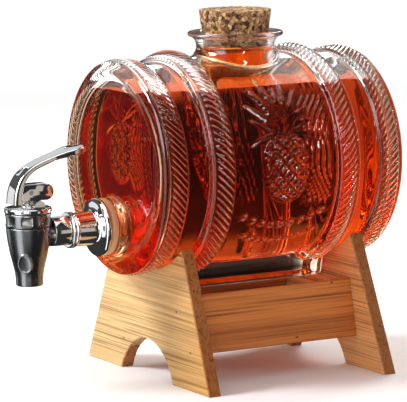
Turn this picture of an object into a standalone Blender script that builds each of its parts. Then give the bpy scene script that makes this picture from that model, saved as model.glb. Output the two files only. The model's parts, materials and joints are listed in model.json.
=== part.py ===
"""Glass barrel drink dispenser on a bamboo cradle, with a lever tap and a cork.

Metres, +Z up. The barrel lies along Y and the tap points to -Y, which is the
front; +X is the near side. The origin is on the floor under the middle of the
whole object's box, from the tap to the barrel's rear end. Lengths below are in
millimetres from the middle of the stand; MM turns them into metres and PLACE_Y
moves them to the origin.
"""

import math

import bmesh
import bpy
from mathutils import Matrix, Vector

MM = 0.001
PLACE_Y = 32.7
GAP = 0.3  # clearance between neighbouring parts
WELD = 1e-4  # points closer than this are merged
SHARP_ANGLE = math.radians(38)

# main axes and levels shared by the sections below
AXIS_Z = 112.5
BARREL_Y = -2.0
BOSS_Y = -79.0
TAP_Z = 82.2
STEM_Y = -124.6
PIN_Z = 104.0
PIN_R = 1.2
PIN_HOLE_R = PIN_R + 0.05
HEEL_BOTTOM = 99.6

# a point on each turning axis
UPRIGHT_AXIS = (0, 0, 0)
BARREL_AXIS = (0, 0, AXIS_Z)
TAP_AXIS = (0, 0, TAP_Z)
STEM_AXIS = (0, STEM_Y, 0)
PIN_AXIS = (0, STEM_Y, PIN_Z)

for old in list(bpy.data.objects):
    bpy.data.objects.remove(old, do_unlink=True)

parts_collection = bpy.data.collections.new("dispenser")
cutter_collection = bpy.data.collections.new("helpers")
for collection in (parts_collection, cutter_collection):
    bpy.context.scene.collection.children.link(collection)


# ---------------------------------------------------------------- materials
def material(name, colour, roughness, metallic=0.0, transmission=0.0, ior=1.45):
    made = bpy.data.materials.new(name)
    made.use_nodes = True
    shader = made.node_tree.nodes["Principled BSDF"]
    shader.inputs["Base Color"].default_value = (*colour, 1.0)
    shader.inputs["Roughness"].default_value = roughness
    shader.inputs["Metallic"].default_value = metallic
    shader.inputs["Transmission Weight"].default_value = transmission
    shader.inputs["IOR"].default_value = ior
    return made


def metal(name, colour, roughness):
    return material(name, colour, roughness, metallic=1.0)


def washer_silicone(name):
    return material(name, colour=(0.86, 0.84, 0.78), roughness=0.35)


# ---------------------------------------------------------------- objects
def finish_mesh(bm, name, smooth, origin):
    """An object from bm, in metres, with its origin at the given point in millimetres."""
    bmesh.ops.remove_doubles(bm, verts=bm.verts, dist=WELD)
    bmesh.ops.recalc_face_normals(bm, faces=bm.faces)
    # guards against a body left inside out
    if bm.calc_volume(signed=True) < 0:
        bmesh.ops.reverse_faces(bm, faces=bm.faces)
    shift = Vector(origin)
    for vert in bm.verts:
        vert.co = (vert.co - shift) * MM
    mesh = bpy.data.meshes.new(name)
    bm.to_mesh(mesh)
    bm.free()
    for face in mesh.polygons:
        face.use_smooth = smooth
    if smooth:
        mesh.set_sharp_from_angle(angle=SHARP_ANGLE)
    made = bpy.data.objects.new(name, mesh)
    made.location = (shift + Vector((0, PLACE_Y, 0))) * MM
    return made


def part(bm, name, mat, origin, smooth=True):
    made = finish_mesh(bm, name, smooth, origin)
    made.data.materials.append(mat)
    parts_collection.objects.link(made)
    return made


def boolean(target, operation, bm, name, smooth=True):
    """Keeps bm as a hidden helper and applies it to the target with a boolean modifier."""
    other = finish_mesh(bm, name, smooth, (0, 0, 0))
    other.hide_render = True
    other.display_type = "WIRE"
    cutter_collection.objects.link(other)
    step = target.modifiers.new(f"{operation.lower()}_{name}", "BOOLEAN")
    step.operation = operation
    step.solver = "EXACT"
    step.object = other


def join(target, bm, name):
    boolean(target, "UNION", bm, name)


def cut(target, bm, name, smooth=True):
    boolean(target, "DIFFERENCE", bm, name, smooth)


# ---------------------------------------------------------------- shapes
def lathe(profile, segments, axis, centre, phase=0.0):
    """A closed body turned from (along, radius) pairs about an axis through centre.

    phase turns the facets about the axis, in radians.
    """
    bm = bmesh.new()
    rings = []
    for along, radius in profile:
        ring = []
        count = 1 if radius < 1e-6 else segments
        for i in range(count):
            turn = 2 * math.pi * i / segments + phase
            a, b = radius * math.cos(turn), radius * math.sin(turn)
            if axis == "Z":
                point = (centre[0] + a, centre[1] + b, along)
            elif axis == "Y":
                point = (centre[0] + a, along, centre[2] + b)
            else:
                point = (along, centre[1] + a, centre[2] + b)
            ring.append(bm.verts.new(point))
        rings.append(ring)
    pairs = list(zip(rings, rings[1:]))
    if len(rings[0]) > 1 and len(rings[-1]) > 1:
        pairs.append((rings[-1], rings[0]))
    for first, second in pairs:
        for i in range(segments):
            j = (i + 1) % segments
            if len(first) == 1:
                bm.faces.new((first[0], second[i], second[j]))
            elif len(second) == 1:
                bm.faces.new((first[i], second[0], first[j]))
            else:
                bm.faces.new((first[i], second[i], second[j], first[j]))
    return bm


def rod(radius, low, high, axis, centre, segments, chamfer=0.0, phase=0.0):
    if chamfer:
        rim = [
            (low, radius - chamfer),
            (low + chamfer, radius),
            (high - chamfer, radius),
            (high, radius - chamfer),
        ]
    else:
        rim = [(low, radius), (high, radius)]
    return lathe([(low, 0), *rim, (high, 0)], segments, axis, centre, phase)


def tube(outer, inner, low, high, axis, centre, segments, chamfer):
    """A ring with its outer edges chamfered."""
    profile = [
        (low, inner),
        (low, outer - chamfer),
        (low + chamfer, outer),
        (high - chamfer, outer),
        (high, outer - chamfer),
        (high, inner),
    ]
    return lathe(profile, segments, axis, centre)


def loft(sections, bm=None):
    """A closed body through sections with equal point counts, added to bm if given."""
    bm = bm or bmesh.new()
    rings = [[bm.verts.new(point) for point in section] for section in sections]
    count = len(rings[0])
    for first, second in zip(rings, rings[1:]):
        for i in range(count):
            j = (i + 1) % count
            bm.faces.new((first[i], first[j], second[j], second[i]))
    bm.faces.new(rings[0])
    bm.faces.new(list(reversed(rings[-1])))
    return bm


def extrude_x(outline, half_width):
    """A (y, z) outline made into a plate centred on x = 0."""
    return loft([[(x, y, z) for y, z in outline] for x in (-half_width, half_width)])


def box(low, high):
    bm = bmesh.new()
    bmesh.ops.create_cube(bm, size=1.0)
    for vert in bm.verts:
        for k in range(3):
            vert.co[k] = low[k] if vert.co[k] < 0 else high[k]
    return bm


def arc(centre, radius, start, end, steps):
    """Points on an arc in a plane, angles in degrees."""
    points = []
    for i in range(steps + 1):
        turn = math.radians(start + (end - start) * i / steps)
        points.append(
            (centre[0] + radius * math.cos(turn), centre[1] + radius * math.sin(turn))
        )
    return points


def rounded_rectangle(half_x, half_y, corner, steps, centre):
    points = []
    for sx, sy, start in ((1, 1, 0), (-1, 1, 90), (-1, -1, 180), (1, -1, 270)):
        corner_centre = (
            centre[0] + sx * (half_x - corner),
            centre[1] + sy * (half_y - corner),
        )
        points += arc(corner_centre, corner, start, start + 90, steps)
    return points


# ---------------------------------------------------------------- stand
BOARD_H = 72.0
BOARD_T = 7.2
BOARD_Y = 53.3  # middle of a board's thickness at the floor
LEAN_SLOPE = math.tan(math.radians(1.44))  # shift towards the middle per unit of height
BOARD_HALF_BOTTOM = 67.4
BOARD_HALF_TOP = 37.1
ARCH_HALF = 28.3
ARCH_H = 20.1
CRADLE_R = 54.25
EDGE = 0.5  # chamfer on boards, rails and dowels
MITRE_LIMIT = 0.45
RAIL_T = 7.5
RAIL_LOW = Vector((41.3, 17.1))  # (x, z) of the outer face's lower edge
RAIL_HIGH = Vector((35.9, 47.6))
RAIL_UP = (RAIL_HIGH - RAIL_LOW).normalized()
RAIL_INWARD = Vector((-RAIL_UP.y, RAIL_UP.x))
DOWEL_R = 2.2
DOWEL_IN_BOARD = 4.4
DOWEL_IN_RAIL = 9.0
DOWEL_SEGMENTS = 16
BOARD_OVERCUT = 1.0  # how far a hole's cutter stands out of the face it enters
RAIL_OVERCUT = 1.5
HANDS = ((1, "near"), (-1, "far"))
ENDS = ((-1, "front"), (1, "rear"))
LEVELS = (("low", 24.5), ("high", 40.5))
BOARD_COLOURS = {"front": (0.80, 0.62, 0.40), "rear": (0.78, 0.59, 0.37)}


def inner_face(z):
    """Distance from the middle plane to a board's inner face at height z."""
    return BOARD_Y - z * LEAN_SLOPE - BOARD_T / 2


def dowel_centre(hand, z):
    """A point on a dowel's axis, at mid thickness of the rail."""
    share = (z - RAIL_LOW.y) / (RAIL_HIGH.y - RAIL_LOW.y)
    spot = RAIL_LOW.lerp(RAIL_HIGH, share) + RAIL_INWARD * RAIL_T / 2
    return (hand * spot.x, 0, spot.y)


def dowel_rod(radius, hand, side, z, reaches, chamfer=0.0):
    """A rod along a dowel's axis between two distances from the middle plane."""
    low, high = sorted(side * reach for reach in reaches)
    return rod(radius, low, high, "Y", dowel_centre(hand, z), DOWEL_SEGMENTS, chamfer)


def inset_outline(outline, inset):
    """The outline moved inwards, with the mitre limited at the pointed tips."""
    moved = []
    for i, point in enumerate(outline):
        here = Vector(point)
        first = (here - Vector(outline[i - 1])).normalized()
        second = (Vector(outline[(i + 1) % len(outline)]) - here).normalized()
        normal = Vector((-(first.y + second.y), first.x + second.x)).normalized()
        spread = max(MITRE_LIMIT, normal.dot(Vector((-first.y, first.x))))
        moved.append(here + normal * inset / spread)
    return moved


def board_outline():
    """(x, z) points: down from one horn through the cradle, with an arch between the feet."""
    arch_r = (ARCH_HALF**2 + ARCH_H**2) / (2 * ARCH_H)
    arch_turn = math.degrees(math.asin(ARCH_HALF / arch_r))
    cradle_half = math.sqrt(CRADLE_R**2 - (AXIS_Z - BOARD_H) ** 2)
    cradle_turn = math.degrees(math.asin(cradle_half / CRADLE_R))
    outline = [(BOARD_HALF_BOTTOM, 0.0), (BOARD_HALF_TOP, BOARD_H)]
    outline += arc((0, AXIS_Z), CRADLE_R, -90 + cradle_turn, -90 - cradle_turn, 20)
    outline += [(-BOARD_HALF_TOP, BOARD_H), (-BOARD_HALF_BOTTOM, 0.0)]
    outline += arc((0, ARCH_H - arch_r), arch_r, 90 + arch_turn, 90 - arch_turn, 14)
    return outline


def board(side, end):
    outline = board_outline()
    low = side * BOARD_Y - BOARD_T / 2
    high = side * BOARD_Y + BOARD_T / 2
    sections = []
    for y, inset in ((low, EDGE), (low + EDGE, 0), (high - EDGE, 0), (high, EDGE)):
        sections.append([(p.x, y, p.y) for p in inset_outline(outline, inset)])
    bm = loft(sections)
    # a shear leans the board and keeps its feet flat on the floor
    lean = Matrix.Identity(4)
    lean[1][2] = -side * LEAN_SLOPE
    bm.transform(lean)
    mat = material(f"bamboo_{end}_board", BOARD_COLOURS[end], roughness=0.45)
    name = f"stand_{end}_board"
    made = part(bm, name, mat, origin=(0, side * BOARD_Y, 0), smooth=False)
    for hand, rail_name in HANDS:
        for level, z in LEVELS:
            face = inner_face(z)
            reaches = (face - BOARD_OVERCUT, face + DOWEL_IN_BOARD + GAP)
            hole = dowel_rod(DOWEL_R + GAP, hand, side, z, reaches)
            cut(made, hole, f"hole_{name}_{rail_name}_{level}")


def rail(hand, rail_name):
    thickness = RAIL_INWARD * RAIL_T
    corners = [RAIL_LOW, RAIL_HIGH, RAIL_HIGH + thickness, RAIL_LOW + thickness]
    ring = []
    for i, corner in enumerate(corners):
        before = (corners[i - 1] - corner).normalized()
        after = (corners[(i + 1) % 4] - corner).normalized()
        ring += [corner + before * EDGE, corner + after * EDGE]
    sections = [
        [(hand * p.x, side * (inner_face(p.y) - GAP), p.y) for p in ring]
        for side in (-1, 1)
    ]
    name = f"stand_{rail_name}_rail"
    mat = material(f"bamboo_{rail_name}_rail", colour=(0.66, 0.42, 0.24), roughness=0.5)
    origin = (hand * RAIL_LOW.x, 0, RAIL_LOW.y)
    made = part(loft(sections), name, mat, origin, smooth=False)
    for side, end in ENDS:
        for level, z in LEVELS:
            face = inner_face(z) - GAP
            reaches = (face + RAIL_OVERCUT, face - DOWEL_IN_RAIL - GAP)
            hole = dowel_rod(DOWEL_R + GAP, hand, side, z, reaches)
            cut(made, hole, f"hole_{name}_{end}_{level}")


def dowel(name, hand, side, z):
    face = inner_face(z)
    reaches = (face + DOWEL_IN_BOARD, face - DOWEL_IN_RAIL)
    x, _, centre_z = dowel_centre(hand, z)
    part(
        dowel_rod(DOWEL_R, hand, side, z, reaches, chamfer=EDGE),
        name,
        material(name, colour=(0.74, 0.56, 0.36), roughness=0.7),
        origin=(x, side * face, centre_z),
    )


for side, end in ENDS:
    board(side, end)
for hand, rail_name in HANDS:
    rail(hand, rail_name)
for hand, rail_name in HANDS:
    for side, end in ENDS:
        for level, z in LEVELS:
            dowel(f"dowel_{rail_name}_{end}_{level}", hand, side, z)


# ---------------------------------------------------------------- glass barrel
FACE_A = 72.0  # from the barrel's middle to its end face
END_WALL = 5.0
INNER_A = FACE_A - END_WALL
GROOVE_R = 53.8
PANEL_R = 55.6
CAVITY_R = 52.8
FOOT_HALF_X, FOOT_HALF_Y = 23.4, 44.0
FOOT_Z = 48.5
NECK_LOW = AXIS_Z + 40.0
NECK_R = 21.0
LIP_R = 25.4
LIP_TOP = 180.5
LIP_T = 2.4
BORE_LOW = AXIS_Z + 20.0
BORE_TAPER_Z = 170.0
BORE_TOP_R = 18.1
BORE_LOW_R = 17.0
BORE_TAPER = (BORE_TOP_R - BORE_LOW_R) / (LIP_TOP - BORE_TAPER_Z)
BORE_MOUTH = 0.8  # depth of the flare at the lip
BORE_MOUTH_R = BORE_TOP_R + 0.9
BOSS_ROOT_Y = -70.0
BOSS_R = 15.4
TAP_HOLE_R = 7.6

# one half of the barrel's hooped outside: (distance from its middle, radius)
HOOPS = [
    (0.0, PANEL_R + 0.5), (29.8, PANEL_R - 0.2), (31.4, PANEL_R),
    (33.2, 58.2), (36.6, 59.6), (41.0, 58.2), (44.9, 55.6),
    (45.8, GROOVE_R), (57.4, GROOVE_R),
    (58.2, 54.8), (63.5, 55.9), (68.8, 56.4), (71.4, 55.2), (72.9, 52.2),
    (73.5, 49.6), (73.0, 47.4), (FACE_A, 46.2), (FACE_A, 0.0),
]
# one half of the hollow, which swells behind each hoop so the wall stays about
# 3 mm: (distance from the barrel's middle, radius)
HOLLOW = [
    (0.0, CAVITY_R), (20.0, CAVITY_R - 0.3), (29.5, CAVITY_R - 0.7),
    (32.0, 53.6), (34.5, 55.4), (37.5, 56.2), (41.0, 55.2), (44.0, 53.0),
    (46.5, 51.2), (50.0, 50.9), (55.5, 50.9), (58.0, 51.8), (61.0, 53.0),
    (64.0, 52.9), (INNER_A - 1.2, 51.3), (INNER_A - 0.2, 48.6),
    (INNER_A, 46.0), (INNER_A, 0.0),
]
# (height, radius)
NECK = [
    (NECK_LOW, 0), (NECK_LOW, 25.0), (164.0, 24.4), (168.5, 22.4),
    (171.0, NECK_R), (174.5, NECK_R + 0.1), (177.0, 22.2), (178.0, 24.2),
    *arc((LIP_TOP - LIP_T / 2, LIP_R - LIP_T / 2), LIP_T / 2, 180, 0, 4)[1:],
    (LIP_TOP, BORE_TOP_R - 1.0), (LIP_TOP, 0),
]
BORE = [
    (BORE_LOW, 0), (BORE_LOW, BORE_LOW_R), (BORE_TAPER_Z, BORE_LOW_R),
    (LIP_TOP - BORE_MOUTH, BORE_TOP_R - BORE_MOUTH * BORE_TAPER),
    (LIP_TOP + 0.2, BORE_MOUTH_R), (LIP_TOP + 4.0, BORE_MOUTH_R), (LIP_TOP + 4.0, 0),
]
# (y, radius)
BOSS = [
    (BOSS_ROOT_Y, 0), (BOSS_ROOT_Y, BOSS_R + 1.4), (-73.4, BOSS_R + 1.4),
    (-74.8, BOSS_R + 0.2), (BOSS_Y + 1.0, BOSS_R), (BOSS_Y, BOSS_R - 1.0), (BOSS_Y, 0),
]
# (height, inset from the foot's half sizes, corner radius)
FOOT = [
    (FOOT_Z, 2.2, 8.0), (FOOT_Z + 0.6, 0.9, 8.6), (FOOT_Z + 2.0, 0.0, 9.0),
    (64.0, -1.0, 10.0),
]


def both_halves(half):
    """A profile mirrored about the barrel's middle, as (y, radius)."""
    return [(BARREL_Y - a, r) for a, r in half[::-1]] + [
        (BARREL_Y + a, r) for a, r in half[1:]
    ]


def foot_block():
    sections = []
    for z, inset, corner in FOOT:
        outline = rounded_rectangle(
            FOOT_HALF_X - inset, FOOT_HALF_Y - inset, corner, 4, (0, BARREL_Y)
        )
        sections.append([(x, y, z) for x, y in outline])
    return loft(sections)


def barrel():
    made = part(
        lathe(both_halves(HOOPS), 44, "Y", BARREL_AXIS),
        "glass_barrel",
        material(
            "soda_glass",
            colour=(0.95, 0.97, 0.97),
            roughness=0.02,
            transmission=1.0,
            ior=1.5,
        ),
        origin=BARREL_AXIS,
    )
    join(made, lathe(NECK, 32, "Z", UPRIGHT_AXIS), "neck_outer")
    join(made, lathe(BOSS, 28, "Y", TAP_AXIS), "tap_boss_outer")
    join(made, foot_block(), "foot_outer")
    cut(made, lathe(both_halves(HOLLOW), 32, "Y", BARREL_AXIS), "cavity")
    cut(made, lathe(BORE, 32, "Z", UPRIGHT_AXIS), "neck_bore")
    cut(made, rod(TAP_HOLE_R, BOSS_Y - 2.0, -62.0, "Y", TAP_AXIS, 20), "tap_hole")


barrel()

# ---------------------------------------------------------------- cork
CORK_BOTTOM, CORK_TOP = 173.0, 192.2
CORK_BOTTOM_R, CORK_LIP_R, CORK_TOP_R = 17.0, 17.8, 19.4
CORK_LOW_EDGE, CORK_TOP_EDGE = 0.7, 0.8

# (height, radius)
CORK = [
    (CORK_BOTTOM, 0), (CORK_BOTTOM, CORK_BOTTOM_R - CORK_LOW_EDGE),
    (CORK_BOTTOM + CORK_LOW_EDGE, CORK_BOTTOM_R), (LIP_TOP, CORK_LIP_R),
    (CORK_TOP - CORK_TOP_EDGE, CORK_TOP_R),
    (CORK_TOP, CORK_TOP_R - CORK_TOP_EDGE), (CORK_TOP, 0),
]
part(
    lathe(CORK, 32, "Z", UPRIGHT_AXIS),
    "cork_stopper",
    material("agglomerated_cork", colour=(0.62, 0.42, 0.25), roughness=0.9),
    origin=(0, 0, CORK_BOTTOM),
)

# ---------------------------------------------------------------- tap body
BODY_BOTTOM, BODY_TOP = 55.4, 86.0
SEAT_Z = 70.0
SPIGOT_ROOT_R = 5.5
SPIGOT_ROOT_Z = BODY_TOP - 5.9
WATERWAY_R = 2.9
PAD_TURN = math.radians(52)  # from the front towards the near side
PAD_TILT = math.radians(12)
PAD_REACH = 9.0  # from the stem axis
PAD_Z = 67.8
PAD_HALF_WIDTH, PAD_HALF_HEIGHT = 4.0, 5.6

# the tapered outside: (height, radius)
BODY = [
    (BODY_BOTTOM, 0), (BODY_BOTTOM, 6.5), (BODY_BOTTOM + 0.5, 7.0),
    (60.6, 7.2), (64.0, 7.8), (67.4, 8.6), (70.5, 9.4), (73.7, 10.1),
    (79.0, 11.0), (83.5, 11.5), (BODY_TOP - 0.5, 11.7), (BODY_TOP, 11.3), (BODY_TOP, 0),
]
# outlet, valve seat and spring room: (height, radius)
CHAMBER = [
    (BODY_BOTTOM - 2.0, 0), (BODY_BOTTOM - 2.0, 5.2), (BODY_BOTTOM + 0.4, 5.0),
    (66.0, 4.6), (67.6, 3.4), (SEAT_Z, 3.4), (SEAT_Z, 6.5), (77.9, 6.5),
    (79.5, 8.2), (BODY_TOP + 2.0, 8.2), (BODY_TOP + 2.0, 0),
]
# (y, radius)
SPIGOT = [
    (-112.2, 0), (-112.2, 7.2), (-111.8, 7.6), (-103.4, 7.75), (-103.0, 7.3),
    (-103.0, 5.4), (-96.0, 5.4), (-96.0, 0),
]
# before it is stretched to an oval: (distance out of the body, radius)
PAD = [(-3.0, 0), (-3.0, 1.0), (0.2, 1.0), (0.75, 0.86), (0.75, 0)]


def oval_pad():
    """A plain oval pad on the front-near side of the body."""
    bm = lathe(PAD, 14, "X", (0, 0, 0))
    centre = (
        PAD_REACH * math.sin(PAD_TURN),
        STEM_Y - PAD_REACH * math.cos(PAD_TURN),
        PAD_Z,
    )
    bm.transform(Matrix.Diagonal((1.0, PAD_HALF_WIDTH, PAD_HALF_HEIGHT, 1.0)))
    bm.transform(
        Matrix.Translation(centre)
        @ Matrix.Rotation(PAD_TURN - math.pi / 2, 4, "Z")
        @ Matrix.Rotation(PAD_TILT, 4, "Y")
    )
    return bm


def tap_body():
    made = part(
        lathe(BODY, 28, "Z", STEM_AXIS),
        "tap_body",
        metal("tap_body_chrome", colour=(0.46, 0.47, 0.49), roughness=0.16),
        origin=(0, STEM_Y, TAP_Z),
    )
    # the waterway leaves under the collar, so its root is slimmer than the spigot itself
    root_axis = (0, 0, SPIGOT_ROOT_Z)
    root = rod(SPIGOT_ROOT_R, -119.0, -111.0, "Y", root_axis, 20, phase=0.05)
    join(made, root, "spigot_root")
    join(made, lathe(SPIGOT, 24, "Y", TAP_AXIS), "spigot")
    join(made, oval_pad(), "oval_pad")
    cut(made, lathe(CHAMBER, 20, "Z", STEM_AXIS), "valve_chamber")
    waterway = rod(WATERWAY_R, STEM_Y + 2.0, -92.0, "Y", TAP_AXIS, 16, phase=0.12)
    cut(made, waterway, "tap_waterway")


tap_body()

# ---------------------------------------------------------------- shank, washers, nut
RING_HOLE_R = 7.3
OUTER_WASHER_Y = (BOSS_Y - GAP - 3.6, BOSS_Y - GAP)
FLANGE_Y = OUTER_WASHER_Y[0] - GAP
INNER_WASHER_Y = (-68.6, -66.7)
NUT_Y = (INNER_WASHER_Y[1] + GAP, -60.6)
HEXAGON_R = 11.55  # to the corners

# the tap end's rings, then the flange, the thread and the bore: (y, radius)
SHANK = [
    (-102.7, 5.7), (-102.7, 9.0), (-102.2, 9.5), (-101.5, 9.5), (-101.1, 9.0),
    (-100.7, 9.0), (-100.3, 9.5), (-99.5, 9.5), (-99.0, 8.8), (-88.6, 9.1),
    (-87.4, 10.4), (-86.8, 13.6), (-86.0, 15.0), (-85.0, 15.4), (-83.8, 15.4),
    (FLANGE_Y, 14.8), (FLANGE_Y, 7.0), (-59.2, 7.0), (-58.5, 6.3), (-58.5, 3.4),
    (-95.7, 3.4), (-95.7, 5.7),
]


def shank_nut():
    made = part(
        tube(11.6, RING_HOLE_R, *NUT_Y, "Y", TAP_AXIS, segments=28, chamfer=0.4),
        "shank_nut",
        metal("shank_nut_steel", colour=(0.68, 0.68, 0.70), roughness=0.25),
        origin=(0, -63.5, TAP_Z),
        smooth=False,
    )
    hexagon = rod(HEXAGON_R, -70.0, -57.0, "Y", TAP_AXIS, 6)
    boolean(made, "INTERSECT", hexagon, "nut_hexagon", smooth=False)


part(
    lathe(SHANK, 28, "Y", TAP_AXIS),
    "tap_shank",
    metal("tap_shank_chrome", colour=(0.80, 0.81, 0.83), roughness=0.08),
    origin=(0, -85.0, TAP_Z),
)
part(
    tube(15.0, RING_HOLE_R, *OUTER_WASHER_Y, "Y", TAP_AXIS, segments=28, chamfer=0.6),
    "outer_washer",
    washer_silicone("outer_washer_silicone"),
    origin=(0, -81.0, TAP_Z),
)
part(
    tube(10.9, RING_HOLE_R, *INNER_WASHER_Y, "Y", TAP_AXIS, segments=24, chamfer=0.4),
    "inner_washer",
    washer_silicone("inner_washer_silicone"),
    origin=(0, -67.7, TAP_Z),
)
shank_nut()

# ---------------------------------------------------------------- bonnet
COLLAR_BOTTOM = BODY_TOP + GAP
COLLAR_TOP = COLLAR_BOTTOM + 7.0
COLLAR_R = 11.9
COLLAR_HOLE_R = 8.5
RECESSES = 8
RECESS_HALF_WIDTH, RECESS_HALF_HEIGHT, RECESS_CORNER = 3.1, 2.3, 0.8
RECESS_DEPTH = 0.8
CAP_BOTTOM, CAP_TOP = COLLAR_TOP + GAP, 96.2
CAP_R = 12.3
GUIDE_R = 3.1
FULCRUM_Y = STEM_Y + 5.2
FULCRUM_R = 3.0
FULCRUM_Z = HEEL_BOTTOM - GAP - FULCRUM_R
FULCRUM_FOOT_Z = CAP_TOP - 0.6
FULCRUM_HALF_WIDTH = 3.93
STEM_R = 1.95

# (height, radius)
COLLAR = [
    (COLLAR_BOTTOM, COLLAR_HOLE_R), (COLLAR_BOTTOM, 11.5),
    (COLLAR_BOTTOM + 0.4, COLLAR_R), (COLLAR_TOP - 0.4, COLLAR_R + 0.1),
    (COLLAR_TOP, 11.6), (COLLAR_TOP, COLLAR_HOLE_R),
]
CAP = [
    (CAP_BOTTOM, 0), (CAP_BOTTOM, CAP_R - 0.4), (CAP_BOTTOM + 0.5, CAP_R),
    (CAP_TOP - 1.0, CAP_R), (CAP_TOP - 0.3, CAP_R - 0.5), (CAP_TOP, CAP_R - 1.2),
    (CAP_TOP, 4.2), (CAP_TOP + 1.2, 3.7), (CAP_TOP + 1.2, 0),
]


def collar():
    """The castellated collar: a ring with rounded recesses all round."""
    made = part(
        lathe(COLLAR, 40, "Z", STEM_AXIS),
        "bonnet_collar",
        metal("bonnet_collar_chrome", colour=(0.50, 0.51, 0.53), roughness=0.18),
        origin=(0, STEM_Y, COLLAR_BOTTOM),
    )
    outline = rounded_rectangle(
        RECESS_HALF_WIDTH,
        RECESS_HALF_HEIGHT,
        RECESS_CORNER,
        2,
        (0, (COLLAR_BOTTOM + COLLAR_TOP) / 2),
    )
    bm = bmesh.new()
    for i in range(RECESSES):
        turn = 2 * math.pi * (i + 0.35) / RECESSES
        place = Matrix.Translation(STEM_AXIS) @ Matrix.Rotation(turn, 4, "Z")
        sections = [
            [place @ Vector((x, y, z)) for y, z in outline]
            for x in (COLLAR_R - RECESS_DEPTH, COLLAR_R + 2.0)
        ]
        loft(sections, bm)
    cut(made, bm, "collar_recesses")


def cap():
    """The cap with its stem guide below and the lever's fulcrum post on top."""
    made = part(
        lathe(CAP, 36, "Z", STEM_AXIS),
        "bonnet_cap",
        metal("bonnet_cap_chrome", colour=(0.82, 0.83, 0.85), roughness=0.06),
        origin=(0, STEM_Y, CAP_BOTTOM),
    )
    guide = rod(GUIDE_R, 89.5, CAP_BOTTOM + 0.9, "Z", STEM_AXIS, 16, chamfer=0.3)
    join(made, guide, "stem_guide")
    post = arc((FULCRUM_Y, FULCRUM_Z), FULCRUM_R, 0, 180, 12)
    post += [
        (FULCRUM_Y - FULCRUM_R, FULCRUM_FOOT_Z),
        (FULCRUM_Y + FULCRUM_R, FULCRUM_FOOT_Z),
    ]
    join(made, extrude_x(post, FULCRUM_HALF_WIDTH), "fulcrum_post")
    cut(made, rod(STEM_R + 0.08, 86.0, 104.0, "Z", STEM_AXIS, 20), "stem_hole")


collar()
cap()

# ---------------------------------------------------------------- valve
STEM_BOTTOM, STEM_TOP = 72.4, 100.0
SHOULDER_LOW, SHOULDER_HIGH, SHOULDER_R = 77.4, 78.8, 5.6
TONGUE_R = 2.5
TONGUE_HALF_WIDTH = 1.8
SEAL_BOTTOM = SEAT_Z + GAP
SEAL_TOP = 76.9
SPRING_LOW, SPRING_HIGH = 79.2, 93.2
SPRING_R, SPRING_WIRE, SPRING_TURNS = 5.2, 0.55, 5
SPRING_STEPS_PER_TURN = 12
SPRING_SIDES = 5
SPRING_END_TURNS = 0.8  # turns at each end that lie nearly flat
SPRING_STEADY_RISE = 0.18  # share of the height that rises evenly over all turns

# (height, radius)
STEM = [
    (STEM_BOTTOM, 0), (STEM_BOTTOM, STEM_R - 0.3), (STEM_BOTTOM + 0.3, STEM_R),
    (SHOULDER_LOW, STEM_R), (SHOULDER_LOW, SHOULDER_R), (SHOULDER_HIGH, SHOULDER_R),
    (SHOULDER_HIGH, STEM_R), (STEM_TOP, STEM_R), (STEM_TOP, 0),
]
SEAL = [
    (SEAL_BOTTOM, 0), (SEAL_BOTTOM, 3.8), (71.2, 5.0), (75.4, 5.2), (SEAL_TOP, 4.6),
    (SEAL_TOP, STEM_R + GAP), (STEM_BOTTOM - GAP, STEM_R + GAP), (STEM_BOTTOM - GAP, 0),
]


def valve_stem():
    made = part(
        lathe(STEM, 20, "Z", STEM_AXIS),
        "valve_stem",
        metal("valve_stem_steel", colour=(0.72, 0.72, 0.73), roughness=0.22),
        origin=PIN_AXIS,
    )
    tongue = arc((STEM_Y, PIN_Z), TONGUE_R, -4, 184, 14)
    tongue += [
        (STEM_Y + y, z) for y, z in ((-2.2, 98.6), (-1.5, 97.9), (1.5, 97.9), (2.2, 98.6))
    ]
    join(made, extrude_x(tongue, TONGUE_HALF_WIDTH), "stem_tongue")
    cut(made, rod(PIN_HOLE_R, -4.0, 4.0, "X", PIN_AXIS, 24), "stem_eye")


def spring():
    steps = SPRING_TURNS * SPRING_STEPS_PER_TURN
    low = SPRING_LOW + SPRING_WIRE
    rise = SPRING_HIGH - SPRING_WIRE - low
    sections = []
    for i in range(steps + 1):
        share = i / steps
        turn = 2 * math.pi * SPRING_TURNS * share
        eased = (share * SPRING_TURNS - SPRING_END_TURNS) / (
            SPRING_TURNS - 2 * SPRING_END_TURNS
        )
        eased = min(1.0, max(0.0, eased))
        z = low + rise * (SPRING_STEADY_RISE * share + (1 - SPRING_STEADY_RISE) * eased)
        ring = []
        for across, up in arc((SPRING_R, z), SPRING_WIRE, 0, 360, SPRING_SIDES)[:-1]:
            ring.append((across * math.cos(turn), STEM_Y + across * math.sin(turn), up))
        sections.append(ring)
    return loft(sections)


valve_stem()
part(
    lathe(SEAL, 20, "Z", STEM_AXIS),
    "valve_seal",
    material("valve_seal_silicone", colour=(0.20, 0.19, 0.18), roughness=0.6),
    origin=(0, STEM_Y, SEAT_Z),
)
part(
    spring(),
    "valve_spring",
    metal("spring_steel", colour=(0.62, 0.62, 0.64), roughness=0.25),
    origin=(0, STEM_Y, SPRING_HIGH),
)

# ---------------------------------------------------------------- lever
LEVER_HALF = 5.5
PADDLE_HALF = 7.4
LEVER_STATIONS = 24
LEVER_BEND = 0.42  # share of the strap below the joint of its two curves
TIP_START = 0.84  # share at which the tip starts to round off
HEEL_TOP = 108.2
HEEL_REAR = -111.7
HEEL_HALF_WIDTH = 4.5
THUMB_SHARE = 0.875
THUMB_RADII = (4.6, 6.4, 1.5)

# Bezier control points of the centre line: (y, z)
LEVER_LOWER = ((-132.1, 98.4), (-132.2, 104.5), (-131.2, 112.6), (-121.5, 117.2))
LEVER_UPPER = (LEVER_LOWER[-1], (-112.5, 121.0), (-99.0, 124.4), (-90.6, 124.4))


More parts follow.
